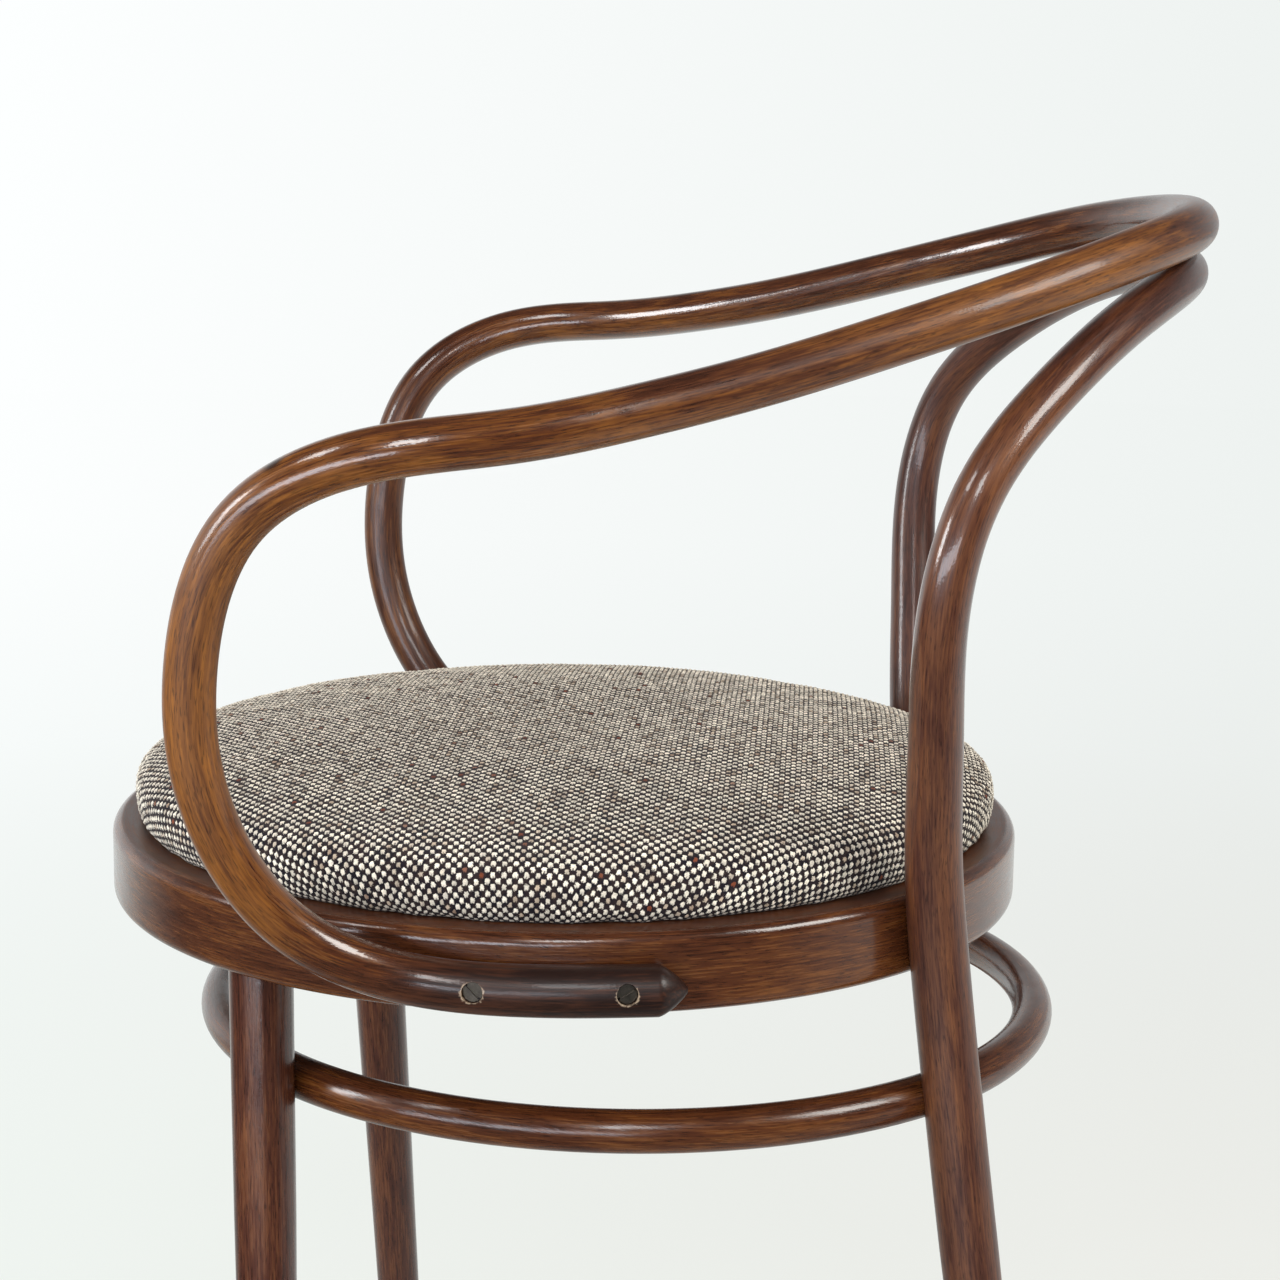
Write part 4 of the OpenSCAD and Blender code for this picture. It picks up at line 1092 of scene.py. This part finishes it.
class ARMCHAIR_OT_stage(bpy.types.Operator):
    """Set up the paper backdrop, the soft lamps and the camera"""

    bl_idname = "armchair.stage"
    bl_label = "Stage"

    def execute(self, context):
        stage = settings().stage
        scene = context.scene
        self.paper(stage)
        self.world(stage)
        for row in SOFTBOXES:
            softbox(stage, *row)
        data = bpy.data.cameras.new("Camera")
        data.lens, data.sensor_width = stage.lens, 36
        camera = bpy.data.objects.new("Camera", data)
        scene.collection.objects.link(camera)
        camera.location, camera.rotation_euler = stage.camera_place, stage.camera_turn
        scene.camera = camera
        scene.view_settings.view_transform = "Standard"
        return {"FINISHED"}

    def paper(self, stage):
        """A round sheet of seamless paper on the floor: a flat disc that meets the background in the same shade."""
        sides, rows = 128, 24
        turn = 2 * pi * np.arange(sides) / sides
        far = np.linspace(0.05, PAPER_RADIUS, rows)[:, None]
        grid = np.stack([far * np.cos(turn), far * np.sin(turn), np.zeros((rows, sides))], axis=-1).reshape(-1, 3)
        faces = grid_faces(rows, sides)[:, ::-1].tolist() + fan_faces(np.arange(sides), rows * sides, False)
        floor = new_mesh("paper_floor", np.vstack([grid, [(0, 0, 0)]]), faces)
        material, node = new_material("Matt studio paper")
        # White paper: it scatters evenly. The camera sees most of it as the plain bright backdrop, and less of that
        # near the chair, where its shadow falls. Reflections see it bright behind the chair and dark in front of it
        spot = node("NewGeometry", out="Position")
        tone = self.backdrop(node, stage, spot, *VIEWER)
        x, y, _ = node("SeparateXYZ", spot).node.outputs
        forward = node("Math MULTIPLY_ADD", y, -0.45, x)
        mirror = node("Emission", tone, node("MapRange", forward, 0.45, -0.7, 0.08, 1.0))
        to_camera = node("LightPath", out="Is Camera Ray")
        glossy = to_camera.node.outputs["Is Glossy Ray"]
        plain = node("MapRange", node("VectorMath LENGTH", spot), 0.4, 2.2, 0.6, 1.0)
        diffuse = node("BsdfDiffuse", linear("#e9ecea"))
        seen = node("MixShader", node("Math MULTIPLY", to_camera, plain), diffuse, node("Emission", tone))
        node("OutputMaterial", node("MixShader", glossy, seen, mirror))
        floor.data.materials.append(material)

    def backdrop(self, node, stage, place, stand, height):
        """Shade of the backdrop at a place or in a direction, for someone who stands at the given distance along +X and
        height: paler on the left, where Y over the distance back is low, and at the top, where the fall over it is."""
        x, y, z = node("SeparateXYZ", place).node.outputs
        away = node("Math ADD", node("Math ABSOLUTE", x), stand)
        level = node("MapRange", node("Math DIVIDE", y, away), -0.28, 0.17)
        low = node("MapRange", node("Math DIVIDE", node("Math SUBTRACT", height, z), away), 0.16, 0.4)
        wall = node("Mix", level, stage.backdrop[:], stage.backdrop_right[:], data_type="RGBA")
        base = node("Mix", level, stage.floor_left[:], stage.floor_right[:], data_type="RGBA")
        return node("Mix", low, wall, base, data_type="RGBA")

    def room(self, node, way):
        """The studio as the varnish mirrors it: the paper behind the chair up to 30 degrees high, brighter on the left,
        and dark above it and on the camera's side."""
        x, y, z = node("SeparateXYZ", way).node.outputs
        behind, low = node("MapRange", x, -0.1, -0.6), node("MapRange", z, 0.6, 0.2)
        left = node("Math MULTIPLY_ADD", y, -0.4, 0.65)
        return node("Math MULTIPLY_ADD", node("Math MULTIPLY", behind, low), left, 0.05)

    def world(self, stage):
        """The backdrop to the camera, the studio to reflections, and a weaker even light on everything else."""
        world = bpy.data.worlds.new("Studio")
        world.use_nodes = True
        world.node_tree.nodes.clear()
        node = partial(add, world.node_tree)
        way = node("TexCoord", out="Generated")
        seen = node("Background", self.backdrop(node, stage, way, 0.0, 0.0))
        mirror = node("Background", stage.backdrop[:], self.room(node, way))
        dome = node("MapRange", node("SeparateXYZ", way, out=2), 0.0, 1.0, stage.horizon, stage.sky)
        even = node("Background", linear("#fffaf2"), dome)
        to_camera = node("LightPath", out="Is Camera Ray")
        inner = node("MixShader", to_camera.node.outputs["Is Glossy Ray"], even, mirror)
        node("OutputWorld", node("MixShader", to_camera, inner, seen))
        bpy.context.scene.world = world


class ArmchairSettings(bpy.types.PropertyGroup):
    """All settings of the armchair."""

    rods: bpy.props.PointerProperty(name="Rods", description="Sizes of the bent rods", type=RodSettings)
    pad: bpy.props.PointerProperty(name="Pad", description="Sizes of the pad", type=PadSettings)
    finish: bpy.props.PointerProperty(name="Finishes", description="Colours of the finishes", type=FinishSettings)
    stage: bpy.props.PointerProperty(name="Stage", description="Camera, lamps and backdrop", type=StageSettings)


STEPS = (
    ARMCHAIR_OT_arm_rod,
    ARMCHAIR_OT_back_rod,
    ARMCHAIR_OT_turned_wood,
    ARMCHAIR_OT_pad,
    ARMCHAIR_OT_underside,
    ARMCHAIR_OT_fixings,
    ARMCHAIR_OT_stage,
)


class ARMCHAIR_PT_panel(bpy.types.Panel):
    """Lists the steps and settings in the sidebar"""

    bl_idname = "ARMCHAIR_PT_panel"
    bl_label = "Bent armchair"
    bl_space_type = "VIEW_3D"
    bl_region_type = "UI"
    bl_category = "Armchair"

    def draw(self, context):
        for step in STEPS:
            self.layout.operator(step.bl_idname)
        for name in ("rods", "pad", "finish", "stage"):
            box = self.layout.box()
            group = getattr(context.scene.armchair, name)
            for key in group.__annotations__:
                box.prop(group, key)


CLASSES = (RodSettings, PadSettings, FinishSettings, StageSettings, ArmchairSettings, *STEPS, ARMCHAIR_PT_panel)


def register():
    for cls in CLASSES:
        bpy.utils.register_class(cls)
    bpy.types.Scene.armchair = bpy.props.PointerProperty(type=ArmchairSettings)


def unregister():
    del bpy.types.Scene.armchair
    for cls in reversed(CLASSES):
        bpy.utils.unregister_class(cls)


def main():
    register()
    for step in STEPS:
        group, name = step.bl_idname.split(".")
        getattr(getattr(bpy.ops, group), name)()


if __name__ == "__main__":
    main()
